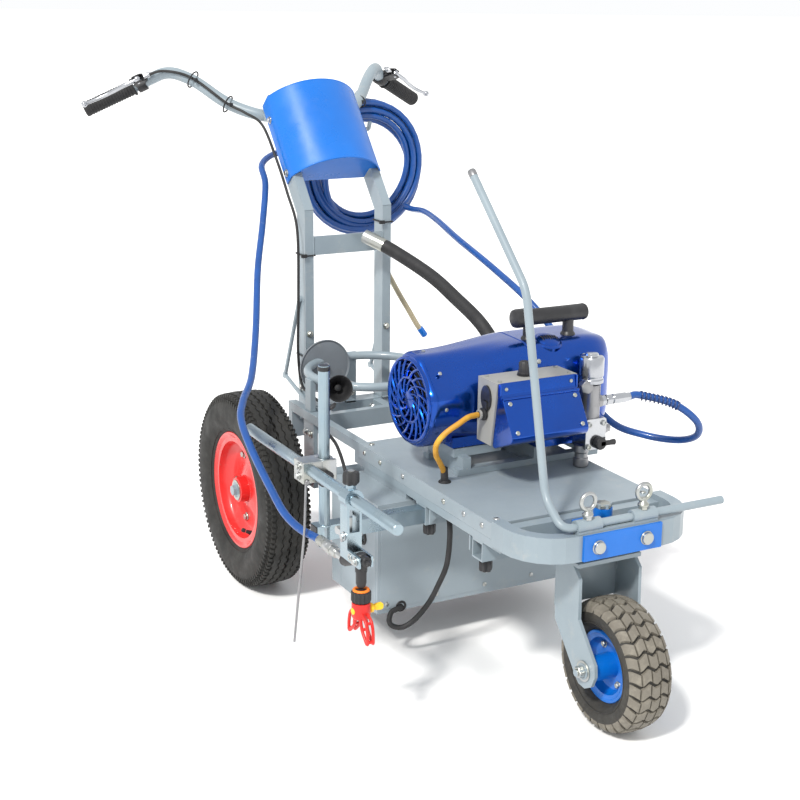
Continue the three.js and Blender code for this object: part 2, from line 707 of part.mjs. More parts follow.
function driveHousing() {
  const outline = (grow) => [
    [-520 - grow, 405], [-350 + grow, 405], [-345 + grow, 520], [-368 + grow, 566],
    [-400, 580 + grow], [-500, 578 + grow], [-522 - grow, 540],
  ];
  const parts = [
    plateX(outline(0), 40.4, 232),
    slab(60, 210, -515, -395, 380, 410),
    rod([150, -352, 430], [150, -335, 430], 13, 12),
  ];
  return union(parts).subtract(toSolid(slab(30, 226, -512, -358, 412, 556)));
}
add('drive_housing', 'metallic_blue', driveHousing());

function stand() {
  const parts = [
    slab(-98, 206, -500, -480.4, DECK_TOP + GAP, 358),
    slab(-98, 206, -390, -370, DECK_TOP + GAP, 358),
  ];
  for (const x of [-80, 70, 190]) {
    parts.push(slab(x - 8, x + 8, -500, -370, DECK_TOP + GAP, 379.7));
  }
  parts.push(slab(-96, 4, -480, -390, 376, 391.7));
  return union(parts);
}
add('sprayer_stand', 'frame_paint', stand());

function controlBox() {
  const parts = [
    plateX([[-570, 421], [-523, 421], [-523, 537], [-587, 537]], -75, 90),
    rod([-88, -548, 474], [-74, -548, 474], 9, 12),
  ];
  const tools = [
    slab(-80, -66, -562, -548, 484, 500),
    rod([0, -555, 525], [0, -555, 545], 4.6, 12),
  ];
  return cut(union(parts), tools);
}
add('control_box', 'black_plastic', controlBox());

add('box_cover', 'metallic_blue', plateX([
  [-576, 417], [-633, 441], [-637, 452], [-601, 511], [-593, 514], [-590.5, 538],
  [-587.5, 538], [-570.5, 421],
], -72, 86));

function carryHandle() {
  const parts = [
    rod([26, -470, 618], [184, -470, 618], 15, 14),
    slab(50, 70, -480, -460, 579.5, 612),
    slab(136, 158, -480, -460, 579.5, 612),
  ];
  return union(parts);
}
add('carry_handle', 'black_plastic', carryHandle());

function pump() {
  const parts = [
    rod([PUMP_X, -545, 380], [PUMP_X, -545, 505], 21, 14),
    rod([PUMP_X, -545, 505], [PUMP_X, -545, 557], 22, 14),
    slab(PUMP_X - 22, PUMP_X + 24, -566, -523, 380, 440),
    rod([PUMP_X + 10, -545, 466], [236, -545, 466], 9, 6),
    rod([PUMP_X - 15, -545, 346.4], [PUMP_X - 15, -545, 390], 14, 12),
    rod([PUMP_X + 18, -545, 412], [PUMP_X + 44, -545, 412], 10, 12),
  ];
  return cut(union(parts), [rod([VALVE_X, -570, 394], [VALVE_X, -560, 394], 5, 12)]);
}
add('pump', 'chrome', pump());

add('prime_valve', 'black_plastic', union([
  rod([VALVE_X, -577, 394], [VALVE_X, -561, 394], 4.5, 12),
  rod([VALVE_X, -578, 394], [VALVE_X, -566.5, 394], 12, 14),
  slab(VALVE_X - 3, VALVE_X + 32, -578, -572, 389, 399),
]));
add('pressure_knob', 'black_plastic', union([
  rod([0, -555, 537.4], [0, -555, 561], 11, 14),
  rod([0, -555, 527], [0, -555, 545], 4, 10),
]));
add('rocker_switch', 'black_plastic', slab(-80.5, -66.6, -561.5, -548.5, 485, 499));

// ---- hoses and cables ----
function coil() {
  const profile = [];
  for (let i = 0; i < 10; i += 1) {
    const a = 2 * Math.PI * i / 10;
    profile.push(new THREE.Vector2(COIL_R + 29 * Math.cos(a), 21 * Math.sin(a)));
  }
  profile.push(profile[0].clone());
  const g = new THREE.LatheGeometry(profile, 28);
  return g.translate(...COIL);
}
add('hose_coil', 'blue_hose', coil());

add('hose_feed', 'blue_hose', cord([
  [238.5, -545, 466], [262, -546, 466], [320, -575, 449], [368, -585, 412], [390, -562, 375],
  [386, -512, 352], [348, -458, 352], [300, -415, 372], [266, -365, 430], [242, -305, 520],
  [215, -240, 585], [200, -120, 635], [206, 40, 672], [236, 180, 688], [268, 300, 690],
  [286, 390, 682], [283, 424, 684],
], 7, 36));

add('hose_drop', 'blue_hose', cord([
  [80, 423, 800], [20, 412, 826], [-60, 382, 830], [-122, 326, 814], [-142, 262, 778],
  [-178, 195, 706], [-226, 110, 627], [-278, 0, 529], [-334, -110, 466], [-382, -185, 444],
  [-409, -240, 424], [-418, -310, 388],
  [-419, -400, 340], [-416, -450, 312], [-408, -495, 298], [-397, -535, 294], [-395, -570.6, 294],
], 7, 36));

add('suction_hose', 'black_rubber', cord([
  [30, 132, 676], [69, 80, 651], [106, -20, 612], [121, -100, 578], [134, -190, 536],
  [146, -262, 470], [150, -300, 434], [150, -331, 430],
], 14, 24, 10));

add('return_tube', 'yellow_cable', cord([
  [112, 206, 600], [123, 204, 578], [146, 194, 531], [168, 186, 491], [186, 180, 458], [200, 178, 438],
], 6, 14));

add('power_cable', 'yellow_cable', cord([
  [-89.5, -548, 474], [-112, -554, 474], [-134, -560, 467], [-160, -558, 452], [-172, -550, 432],
  [-168, -541, 410], [-152, -528, 388], [-138, -516, 368], [-134, -514, 350], [-134, -514, 326],
], 5, 28));

add('under_deck_hose', 'black_rubber', cord([
  [-134, -514, 325.4], [-134, -514.5, 307], [-136, -532, 292], [-139, -545, 262], [-140, -538, 200],
  [-147, -518, 150], [-155, -500, 112], [-175, -484, 77], [-197, -474, 62], [-214, -462, 68],
  [-205, -450, 84], [-184, -446, 88], [-180, -434, 88],
], 5, 32));

add('trigger_cable', 'black_rubber', cord([
  onGrip(-1, -38, 40), [-272, 519.5, 1003.8], [-225, 469.5, 991], [-170, 406, 940],
  [-144, 367, 922], [-123, 320, 899], [-117, 262, 835], [-116, 205, 766], [-118, 152, 695],
  [-122, 140, 547],
  [-126, 135, 440], [-126, 118, 372], [-129, 60, 360], [-144, -60, 366], [-190, -180, 411],
  [-260, -300, 440], [-326, -410, 450], [-340, -500, 440], [-356, -570, 410], [-374, -615, 386],
  [-388, -640, 375], [-394.5, -654.5, 370],
], 3, 48, 8));

export default group;
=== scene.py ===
# Line striping machine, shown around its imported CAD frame. Lengths in the tables are millimetres
# counted from the rear axle, as in the CAD source; P() turns them into the shared frame in metres.
import math
import random

import bpy
import bmesh
from mathutils import Matrix, Vector


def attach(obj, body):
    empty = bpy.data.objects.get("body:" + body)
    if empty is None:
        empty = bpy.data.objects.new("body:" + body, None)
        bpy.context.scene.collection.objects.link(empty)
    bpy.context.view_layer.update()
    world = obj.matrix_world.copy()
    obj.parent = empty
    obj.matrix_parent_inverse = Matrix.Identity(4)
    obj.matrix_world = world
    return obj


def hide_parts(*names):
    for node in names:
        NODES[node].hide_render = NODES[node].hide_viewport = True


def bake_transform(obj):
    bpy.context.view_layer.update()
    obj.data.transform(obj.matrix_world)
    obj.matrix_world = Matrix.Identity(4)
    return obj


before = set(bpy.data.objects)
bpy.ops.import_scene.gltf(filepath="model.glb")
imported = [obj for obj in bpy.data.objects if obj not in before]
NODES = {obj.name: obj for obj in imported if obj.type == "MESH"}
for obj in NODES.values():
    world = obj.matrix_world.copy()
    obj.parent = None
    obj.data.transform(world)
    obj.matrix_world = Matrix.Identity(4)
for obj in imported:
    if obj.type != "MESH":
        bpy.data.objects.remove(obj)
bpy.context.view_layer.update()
SHIFT = 160.5
random.seed(7)


def P(x, y, z):
    return Vector((x / 1000, (y + SHIFT) / 1000, z / 1000))


# ---------------------------------------------------------------- camera
def make_camera():
    back = Vector((-0.45373, -0.84822, 0.27324)).normalized()
    right = Vector((0.8818, -0.4717, 0.0)).normalized()
    up = back.cross(right).normalized()
    r = math.radians(0.59)
    x = right * math.cos(r) + up * math.sin(r)
    y = up * math.cos(r) - right * math.sin(r)
    data = bpy.data.cameras.new("camera")
    data.lens = 67.16
    data.sensor_width = 36
    data.clip_end = 50
    cam = bpy.data.objects.new("camera", data)
    bpy.context.scene.collection.objects.link(cam)
    rot = Matrix((x, y, back)).transposed().to_4x4()
    cam.matrix_world = Matrix.Translation(P(-1389.8, -2690.3, 1210.1)) @ rot
    bpy.context.scene.camera = cam


make_camera()


# ---------------------------------------------------------------- materials
class Mat:
    """A procedural material: base colour with blotches, dust or wear, roughness and bump."""

    def __init__(self, name, colour, rough, metal=0.0, coat=0.0, ior=1.5):
        self.m = bpy.data.materials.new(name)
        self.m.use_nodes = True
        self.t = self.m.node_tree
        self.b = self.t.nodes["Principled BSDF"]
        self.b.inputs["Metallic"].default_value = metal
        self.b.inputs["Coat Weight"].default_value = coat
        self.b.inputs["Coat Roughness"].default_value = 0.06
        self.b.inputs["IOR"].default_value = ior
        self.b.inputs["Base Color"].default_value = (*colour, 1)
        self.b.inputs["Roughness"].default_value = rough
        self.colour = colour
        self.rough = rough
        self.out = None
        self.height = None
        self.coord = self.t.nodes.new("ShaderNodeTexCoord")

    def noise(self, scale, detail=4.0, rough=0.6, stretch=None, coord="Object"):
        n = self.t.nodes.new("ShaderNodeTexNoise")
        n.inputs["Scale"].default_value = scale
        n.inputs["Detail"].default_value = detail
        n.inputs["Roughness"].default_value = rough
        src = self.coord.outputs[coord]
        if stretch:
            mp = self.t.nodes.new("ShaderNodeMapping")
            mp.inputs["Scale"].default_value = stretch
            self.t.links.new(src, mp.inputs["Vector"])
            src = mp.outputs["Vector"]
        self.t.links.new(src, n.inputs["Vector"])
        return n.outputs["Fac"]

    def ramp(self, fac, lo, hi, a=0.0, b=1.0):
        r = self.t.nodes.new("ShaderNodeMapRange")
        r.inputs["From Min"].default_value = lo
        r.inputs["From Max"].default_value = hi
        r.inputs["To Min"].default_value = a
        r.inputs["To Max"].default_value = b
        self.t.links.new(fac, r.inputs["Value"])
        return r.outputs["Result"]

    def tint(self, fac, colour):
        """Mixes a second colour in where fac is 1."""
        mx = self.t.nodes.new("ShaderNodeMix")
        mx.data_type = "RGBA"
        self.t.links.new(fac, mx.inputs["Factor"])
        if self.out is None:
            mx.inputs["A"].default_value = (*self.colour, 1)
        else:
            self.t.links.new(self.out, mx.inputs["A"])
        mx.inputs["B"].default_value = (*colour, 1)
        self.out = mx.outputs["Result"]
        self.t.links.new(self.out, self.b.inputs["Base Color"])
        return self

    def polish(self, fac, a, b):
        """Roughness runs from a to b with fac."""
        self.t.links.new(self.ramp(fac, 0.3, 0.7, a, b), self.b.inputs["Roughness"])
        return self

    def bump(self, fac, strength, distance):
        n = self.t.nodes.new("ShaderNodeBump")
        n.inputs["Strength"].default_value = strength
        n.inputs["Distance"].default_value = distance
        self.t.links.new(fac, n.inputs["Height"])
        if self.height is not None:
            self.t.links.new(self.height, n.inputs["Normal"])
        self.height = n.outputs["Normal"]
        self.t.links.new(self.height, self.b.inputs["Normal"])
        return self

    def wave(self, scale, direction="X", distortion=0.0):
        w = self.t.nodes.new("ShaderNodeTexWave")
        w.bands_direction = direction
        w.inputs["Scale"].default_value = scale
        w.inputs["Distortion"].default_value = distortion
        self.t.links.new(self.coord.outputs["Object"], w.inputs["Vector"])
        return w.outputs["Fac"]


def painted(name, colour, dark, rough=0.38, coat=0.15, dust=(0.45, 0.42, 0.37), dirt=0.35):
    k = Mat(name, colour, rough, 0.0, coat)
    k.tint(k.ramp(k.noise(9, 5), 0.35, 0.75, 0.0, 0.5), dark)
    k.tint(k.ramp(k.noise(26, 8, 0.7), 0.56, 0.8, 0.0, dirt), dust)
    k.tint(k.ramp(k.noise(160, 3), 0.7, 0.78, 0.0, 0.35), dark)
    k.polish(k.noise(14, 6), rough - 0.08, rough + 0.16)
    k.bump(k.noise(520, 2), 0.12, 0.0006)
    k.bump(k.noise(60, 3), 0.08, 0.001)
    return k.m


FRAME = painted("frame_paint", (0.25, 0.305, 0.34), (0.18, 0.225, 0.26), 0.36, 0.2)
DECK = painted("deck_paint", (0.27, 0.32, 0.355), (0.22, 0.265, 0.295), 0.42, 0.1, dirt=0.3)
AZURE = painted("azure_paint", (0.0, 0.14, 0.55), (0.0, 0.1, 0.42), 0.3, 0.1, dirt=0.04)
RED = painted("red_paint", (0.66, 0.022, 0.02), (0.42, 0.012, 0.012), 0.3, 0.35, dirt=0.22)
# Dark grey for the disc by the hoop: painted shade, a darker copy of the frame paint standing in for the
# shadow that region lies in.
DISC_PAINTED_SHADE = painted("disc_painted_shade", (0.16, 0.18, 0.2), (0.1, 0.11, 0.12), 0.5, 0.0)


def lacquer():
    k = Mat("metallic_blue", (0.0, 0.055, 0.36), 0.24, 0.9, 0.5)
    k.tint(k.ramp(k.noise(2600, 1), 0.45, 0.7, 0.0, 0.5), (0.0, 0.11, 0.55))
    k.tint(k.ramp(k.noise(7, 4), 0.4, 0.75, 0.0, 0.45), (0.0, 0.03, 0.22))
    k.polish(k.noise(12, 6), 0.17, 0.32)
    k.bump(k.noise(900, 1), 0.05, 0.0003)
    k.bump(k.noise(22, 3), 0.1, 0.0015)
    return k.m


def tyre(name, base, dust, amount):
    k = Mat(name, base, 0.72, 0.0)
    k.tint(k.ramp(k.noise(13, 7, 0.7), 0.4, 0.75, 0.0, amount), dust)
    k.tint(k.ramp(k.noise(70, 6, 0.7), 0.5, 0.8, 0.0, amount * 0.8), tuple(1.5 * c for c in dust))
    k.polish(k.noise(30, 6), 0.55, 0.9)
    k.bump(k.noise(420, 5), 0.3, 0.001)
    return k.m


def rubber(name, colour=(0.012, 0.012, 0.013), rough=0.6, grain=700):
    k = Mat(name, colour, rough)
    light = tuple(min(1, c * 3 + 0.02) for c in colour)
    k.tint(k.ramp(k.noise(24, 6), 0.5, 0.8, 0.0, 0.35), light)
    k.polish(k.noise(18, 4), rough - 0.12, rough + 0.18)
    k.bump(k.noise(grain, 3), 0.2, 0.0005)
    return k.m


def plated(name, colour, rough, tone, brushed=None):
    k = Mat(name, colour, rough, 1.0)
    k.tint(k.ramp(k.noise(11, 5), 0.35, 0.7, 0.0, 0.6), tone)
    k.tint(k.ramp(k.noise(34, 7, 0.75), 0.55, 0.78, 0.0, 0.45), tuple(0.55 * c for c in colour))
    k.polish(k.noise(20, 6), rough - 0.08, rough + 0.14)
    k.bump(k.noise(240, 4, 0.6, brushed), 0.12, 0.0004)
    return k.m


def hose_skin(name, colour, dark):
    k = Mat(name, colour, 0.33, 0.0, 0.2)
    k.tint(k.ramp(k.noise(30, 5), 0.4, 0.75, 0.0, 0.5), dark)
    k.tint(k.ramp(k.noise(90, 6), 0.62, 0.8, 0.0, 0.25), (0.25, 0.28, 0.33))
    k.polish(k.noise(40, 4), 0.26, 0.46)
    k.bump(k.noise(420, 2), 0.22, 0.0006)
    return k.m


BLUE = lacquer()
TYRE = tyre("tyre_rubber", (0.01, 0.01, 0.009), (0.04, 0.037, 0.032), 0.35)
TYRE_FRONT = tyre("front_tyre_rubber", (0.02, 0.019, 0.017), (0.07, 0.063, 0.05), 0.5)
TREAD = tyre("dusty_tread", (0.15, 0.135, 0.11), (0.24, 0.22, 0.18), 0.6)
BLACK = rubber("black_rubber")
GRIP = rubber("grip_rubber", (0.014, 0.014, 0.015), 0.66, 900)
PLASTIC = rubber("black_plastic", (0.016, 0.016, 0.018), 0.42, 1500)
BOX_GREY = painted("box_grey", (0.3, 0.3, 0.285), (0.22, 0.22, 0.21), 0.5, 0.0, dirt=0.3)
RED_PLASTIC = rubber("red_plastic", (0.62, 0.016, 0.012), 0.35, 900)
YELLOW_PLASTIC = rubber("yellow_plastic", (0.86, 0.5, 0.01), 0.35, 900)
ORANGE_PLASTIC = rubber("orange_plastic", (0.85, 0.2, 0.01), 0.35, 900)
YELLOW = rubber("yellow_cable", (0.52, 0.25, 0.02), 0.5, 600)
BEIGE = rubber("beige_tube", (0.42, 0.36, 0.24), 0.5, 600)
ZINC = plated("zinc_plate", (0.46, 0.475, 0.49), 0.3, (0.4, 0.4, 0.28))
ZINC_BLUE = plated("zinc_blue", (0.36, 0.44, 0.48), 0.28, (0.26, 0.36, 0.44))
STEEL = plated("steel", (0.36, 0.36, 0.37), 0.36, (0.24, 0.24, 0.25))
CHROME = plated("chrome", (0.52, 0.53, 0.55), 0.16, (0.36, 0.38, 0.42))
HOSE = hose_skin("blue_hose", (0.0, 0.06, 0.27), (0.0, 0.035, 0.16))
HOSE_GUARD = hose_skin("blue_guard", (0.01, 0.03, 0.12), (0.006, 0.02, 0.07))


# ---------------------------------------------------------------- mesh kit
def smooth_path(points, per=8):
    """Points on a Catmull-Rom curve through the given ones."""
    p = [Vector(q) for q in points]
    p = [p[0] * 2 - p[1]] + p + [p[-1] * 2 - p[-2]]
    out = []
    for i in range(1, len(p) - 2):
        a, b, c, d = p[i - 1:i + 3]
        for k in range(per):
            t = k / per
            out.append(0.5 * ((2 * b) + (c - a) * t + (2 * a - 5 * b + 4 * c - d) * t * t
                              + (3 * b - a - 3 * c + d) * t ** 3))
    out.append(p[-2])
    return out


def fillet(points, radius, per=6):
    """Straight legs with rounded corners."""
    p = [Vector(q) for q in points]
    out = [p[0]]
    for i in range(1, len(p) - 1):
        la, lb = (p[i] - p[i - 1]).length, (p[i + 1] - p[i]).length
        r = min(radius, la * 0.45, lb * 0.45)
        a = p[i].lerp(p[i - 1], r / la)
        b = p[i].lerp(p[i + 1], r / lb)
        for k in range(per + 1):
            t = k / per
            out.append(a.lerp(p[i], t).lerp(p[i].lerp(b, t), t))
    out.append(p[-1])
    return out


def frame_of(axis):
    z = Vector(axis).normalized()
    x = z.orthogonal().normalized()
    return x, z.cross(x), z


class Piece:
    """Gathers the faces of one visible piece, in millimetres."""

    def __init__(self, name, material, body="cart", slot=None):
        self.name = name
        self.material = material
        self.body = body
        self.slot = slot
        self.v = []
        self.f = []

    def grid(self, rings, closed_ring=True, closed_path=False, caps=True):
        base = len(self.v)
        n = len(rings[0])
        for ring in rings:
            self.v.extend(ring)
        count = len(rings)
        for i in range(count if closed_path else count - 1):
            j = (i + 1) % count
            for k in range(n if closed_ring else n - 1):
                m = (k + 1) % n
                self.f.append((base + i * n + k, base + i * n + m, base + j * n + m, base + j * n + k))
        if caps and not closed_path:
            self.f.append(tuple(base + k for k in reversed(range(n))))
            self.f.append(tuple(base + (count - 1) * n + k for k in range(n)))
        return self

    def tube(self, points, radius, sides=16, caps=True, closed=False):
        """A round tube; radius may be a number or one per point."""
        pts = [Vector(q) for q in points]
        radii = radius if isinstance(radius, (list, tuple)) else [radius] * len(pts)
        tangent = []
        for i in range(len(pts)):
            if closed:
                t = pts[(i + 1) % len(pts)] - pts[i - 1]
            else:
                t = pts[min(i + 1, len(pts) - 1)] - pts[max(i - 1, 0)]
            tangent.append(t.normalized())
        x = tangent[0].orthogonal().normalized()
        rings = []
        for p, t, r in zip(pts, tangent, radii):
            x = (x - t * x.dot(t)).normalized()
            y = t.cross(x)
            rings.append([p + (x * math.cos(a) + y * math.sin(a)) * r
                          for a in (2 * math.pi * k / sides for k in range(sides))])
        return self.grid(rings, caps=caps, closed_path=closed)

    def lathe(self, profile, origin, axis, sides=48, closed=False, caps=True):
        """Turns (radius, height) pairs about an axis through origin."""
        x, y, z = frame_of(axis)
        o = Vector(origin)
        rings = []
        for r, h in profile:
            rings.append([o + z * h + (x * math.cos(a) + y * math.sin(a)) * r
                          for a in (2 * math.pi * k / sides for k in range(sides))])
        return self.grid(rings, caps=caps, closed_path=closed)

    def rod(self, a, b, radius, sides=20, end=None):
        a, b = Vector(a), Vector(b)
        h = (b - a).length
        e = min(0.8, radius * 0.2, h * 0.3)
        q = radius if end is None else end
        return self.lathe([(radius - e, 0), (radius, e), (q, h - e), (q - e, h)], a, b - a, sides)

    def hexbolt(self, at, axis, size=6.0, height=5.0, washer=True, stud=0.0):
        z = Vector(axis).normalized()
        o = Vector(at)
        if washer:
            self.lathe([(size * 1.35, 0), (size * 1.35, 1.4), (size * 1.25, 1.7)], o, z, 20)
            o = o + z * 1.7
        self.lathe([(size, 0), (size, height * 0.8), (size * 0.86, height)], o, z, 6)
        if stud:
            self.rod(o + z * height * 0.9, o + z * (height + stud), size * 0.5, 12)
        return self

    def box(self, lo, hi, turn=None, about=None):
        lo, hi = Vector(lo), Vector(hi)
        c = [Vector((x, y, z)) for x in (lo.x, hi.x) for y in (lo.y, hi.y) for z in (lo.z, hi.z)]
        if turn is not None:
            o = Vector(about) if about is not None else (lo + hi) / 2
            c = [o + turn @ (p - o) for p in c]
        b = len(self.v)
        self.v.extend(c)
        for q in ((0, 1, 3, 2), (4, 6, 7, 5), (0, 4, 5, 1), (2, 3, 7, 6), (0, 2, 6, 4), (1, 5, 7, 3)):
            self.f.append(tuple(b + k for k in q))
        return self

    def prism(self, outline, origin, u, v, depth):
        """A flat outline in the plane of u and v, thickened by the vector depth."""
        o, u, v, d = Vector(origin), Vector(u), Vector(v), Vector(depth)
        ring = [o + u * a + v * b for a, b in outline]
        return self.grid([ring, [p + d for p in ring]])

    def torus(self, centre, axis, big, small, sides=32, around=10):
        x, y, _ = frame_of(axis)
        c = Vector(centre)
        pts = [c + (x * math.cos(a) + y * math.sin(a)) * big
               for a in (2 * math.pi * k / sides for k in range(sides))]
        return self.tube(pts, small, around, closed=True)

    def ball(self, centre, radius, sides=20):
        rows = 12
        prof = [(radius * math.sin(math.pi * (k + 0.25) / (rows + 0.5)),
                 -radius * math.cos(math.pi * (k + 0.25) / (rows + 0.5))) for k in range(rows + 1)]
        return self.lathe(prof, centre, (0, 0, 1), sides)

    def weld(self, points, radius=3.2):
        """A rippled weld bead along a line."""
        pts = []
        a = [Vector(p) for p in points]
        for s, e in zip(a, a[1:]):
            n = max(2, int((e - s).length / 1.6))
            pts.extend(s.lerp(e, k / n) for k in range(n))
        pts.append(a[-1])
        radii = [radius * (0.8 + 0.2 * math.cos(k * 2.1)) for k in range(len(pts))]
        return self.tube(pts, radii, 8)

    def done(self, bevel=0.0, angle=38, subsurf=0, replaces=(), segments=2):
        me = bpy.data.meshes.new(self.name)
        me.from_pydata([P(*p) for p in self.v], [], self.f)
        bm = bmesh.new()
        bm.from_mesh(me)
        bmesh.ops.recalc_face_normals(bm, faces=bm.faces)
        bm.to_mesh(me)
        bm.free()
        me.shade_smooth()
        me.set_sharp_from_angle(angle=math.radians(angle))
        ob = bpy.data.objects.new(self.name, me)
        bpy.context.scene.collection.objects.link(ob)
        me.materials.append(self.material)
        if bevel:
            add_bevel(ob, bevel, segments)
        if subsurf:
            mod = ob.modifiers.new("subdivision", "SUBSURF")
            mod.levels = subsurf
            mod.render_levels = subsurf
        if self.body:
            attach(ob, self.body)
        if replaces:
            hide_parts(*replaces)
        return ob


def add_bevel(ob, width_mm, segments=2):
    mod = ob.modifiers.new("edges", "BEVEL")
    mod.width = width_mm / 1000
    mod.segments = segments
    mod.limit_method = "ANGLE"
    mod.angle_limit = math.radians(40)
    mod.harden_normals = False


def keep(node, material, bevel=0.8, angle=38):
    """A CAD node that stays, with softened edges and its own material."""
    ob = NODES[node]
    ob.data.materials.clear()
    ob.data.materials.append(material)
    ob.data.shade_smooth()
    ob.data.set_sharp_from_angle(angle=math.radians(angle))
    if bevel:
        add_bevel(ob, bevel)
    return ob


# ---------------------------------------------------------------- hoses and cables
def cord(name, points, radius, material, slot, replaces=(), span=None,
         blend=None, sides=16):
    """A hose or cable through its points, or the stretch between two of them."""
    body = "cart"
    per = 10
    path = smooth_path(points, per)
    if span:
        path = path[span[0] * per:span[1] * per + 1]
    piece = Piece(name, material, None if blend else body, slot)
    piece.tube(path, radius, sides)
    ob = piece.done(angle=60, replaces=replaces)
    if blend:
        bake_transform(ob)
    return ob


FEED = [
    (238.5, -545, 466), (262, -546, 466), (320, -575, 449), (368, -585, 412), (390, -562, 375),
    (386, -512, 352), (348, -458, 352), (300, -415, 372), (266, -365, 430), (242, -305, 520),
    (215, -240, 585), (200, -120, 635), (206, 40, 672), (236, 180, 688), (268, 300, 690),
    (286, 390, 682), (283, 424, 684),
]
DROP = [
    (80, 423, 800), (20, 412, 826), (-60, 382, 830), (-122, 326, 814), (-142, 262, 778),
    (-178, 195, 706), (-226, 110, 627), (-278, 0, 529), (-334, -110, 466), (-382, -185, 444),
    (-409, -240, 424), (-418, -310, 388), (-419, -400, 340), (-416, -450, 312),
    (-408, -495, 298), (-397, -535, 294), (-395, -570.6, 294),
]
SUCTION = [
    (30, 132, 676), (69, 80, 651), (106, -20, 612), (121, -100, 578), (134, -190, 536),
    (146, -262, 470), (150, -300, 434), (150, -331, 430),
]
RETURN = [
    (112, 206, 600), (123, 204, 578), (146, 194, 531), (168, 186, 491), (186, 180, 458),
    (200, 178, 438),
]
POWER = [
    (-89.5, -548, 474), (-112, -554, 474), (-134, -560, 467), (-160, -558, 452),
    (-172, -550, 432), (-168, -541, 410), (-152, -528, 388), (-138, -516, 368),
    (-134, -514, 350), (-134, -514, 326),
]
UNDER = [
    (-134, -514, 325.4), (-134, -514.5, 307), (-136, -532, 292), (-139, -545, 262),
    (-140, -538, 200), (-147, -518, 150), (-155, -500, 112), (-175, -484, 77), (-197, -474, 62),
    (-214, -462, 68), (-205, -450, 84), (-184, -446, 88), (-180, -434, 88),
]
COIL = (187, 455, 776)
COIL_R = 133


def ease(t):
    t = min(1.0, max(0.0, t))
    return t * t * (3 - 2 * t)


def coil_path():
    """Seven loose turns of hose in a ring that faces forward, from the feed hose to the drop hose."""
    lays = [(18, -13), (4, -13), (-10, -12), (-21, 0), (-8, 3), (8, 2), (21, 4), (-2, 14), (-2, 14)]
    ends = ((0, -31), (-23.3, -32))
    per = 40
    start = math.radians(-43.8)
    turns = 7.413
    pts = []
    steps = int(turns * per)
    for i in range(steps + 1):
        turn = turns * i / steps
        k = min(int(turn), len(lays) - 2)
        t = ease((turn - k - 0.7) / 0.3)
        radial = lays[k][0] + (lays[k + 1][0] - lays[k][0]) * t
        axial = lays[k][1] + (lays[k + 1][1] - lays[k][1]) * t
        radial += 2.2 * math.sin(2.9 * turn + k)
        for (r, y), w in ((ends[0], 1 - ease(turn / 0.3)), (ends[1], ease((turn - turns + 0.35) / 0.35))):
            radial += (r - radial) * w
            axial += (y - axial) * w
        a = start - turn * 2 * math.pi
        pts.append((COIL[0] + (COIL_R + radial) * math.cos(a), COIL[1] + axial,
                    COIL[2] + (COIL_R + radial) * math.sin(a)))
    return pts


def make_cords():
    cord("feed_hose", FEED, 7, HOSE, "blue_hose", replaces=["hose_feed"])
    coil = coil_path()
    piece = Piece("coiled_hose", HOSE, "cart", "blue_hose").tube(coil, 7, 14)
    ob = piece.done(angle=60, replaces=["hose_coil"])
    cord("drop_hose_upper", DROP, 7, HOSE, "blue_hose", span=(0, 9), replaces=["hose_drop"])
    for name, a, b, first, second in (("beam", 9, 11, "cart", "beam"), ("rod", 11, 13, "beam", "rod_holder"),
                                      ("gun", 13, 16, "rod_holder", "carriage")):
        cord(f"drop_hose_{name}", DROP, 7, HOSE, "blue_hose", span=(a, b),
             blend=(first, second, DROP[a], DROP[b]))
    cord("suction_line", SUCTION, 14, BLACK, "black_rubber", replaces=["suction_hose"],
         sides=20)
    cord("return_line", RETURN, 6, BEIGE, "yellow_cable", replaces=["return_tube"])
    cord("mains_lead", POWER, 5, YELLOW, "yellow_cable", replaces=["power_cable"])
    cord("under_line", UNDER, 5, BLACK, "black_rubber", replaces=["under_deck_hose"])


make_cords()


# ---------------------------------------------------------------- wheels
REAR_R = 200


def tread_lug(piece, wheel, angle, x0, x1, r0, r1, width, skew=0.0, segs=1):
    """One raised tread block: spans x0 to x1 across the tyre, width mm round it."""
    cx, cy, cz = wheel
    for s in range(segs):
        xa = x0 + (x1 - x0) * s / segs
        xb = x0 + (x1 - x0) * (s + 1) / segs
        ring = []
        for x, k in ((xa, 0), (xb, 1)):
            lean = skew * ((s + k) / segs)
            for r, w in ((r0, width), (r1, width * 0.82)):
                for sgn in (-1, 1):
                    a = angle + lean + sgn * w / 2 / REAR_R
                    ring.append(Vector((cx + x, cy + r * math.sin(a), cz + r * math.cos(a))))
        b = len(piece.v)
        piece.v.extend(ring)
        for q in ((0, 1, 3, 2), (4, 6, 7, 5), (0, 4, 5, 1), (2, 3, 7, 6), (0, 2, 6, 4), (1, 5, 7, 3)):
            piece.f.append(tuple(b + k for k in q))


def zigzag_rib(piece, wheel, x0, x1, r0, r1, teeth, swing):
    """A raised rib round the tyre whose edges zigzag from side to side."""
    cx, cy, cz = wheel
    rings = []
    for i in range(4 * teeth):
        a = 2 * math.pi * i / (4 * teeth)
        shift = swing * (1 if i % 4 < 2 else -1)
        rings.append([Vector((cx + x + shift, cy + r * math.sin(a), cz + r * math.cos(a)))
                      for x, r in ((x0 - 0.8, r0), (x0, r1), (x1, r1), (x1 + 0.8, r0))])
    piece.grid(rings, closed_path=True)


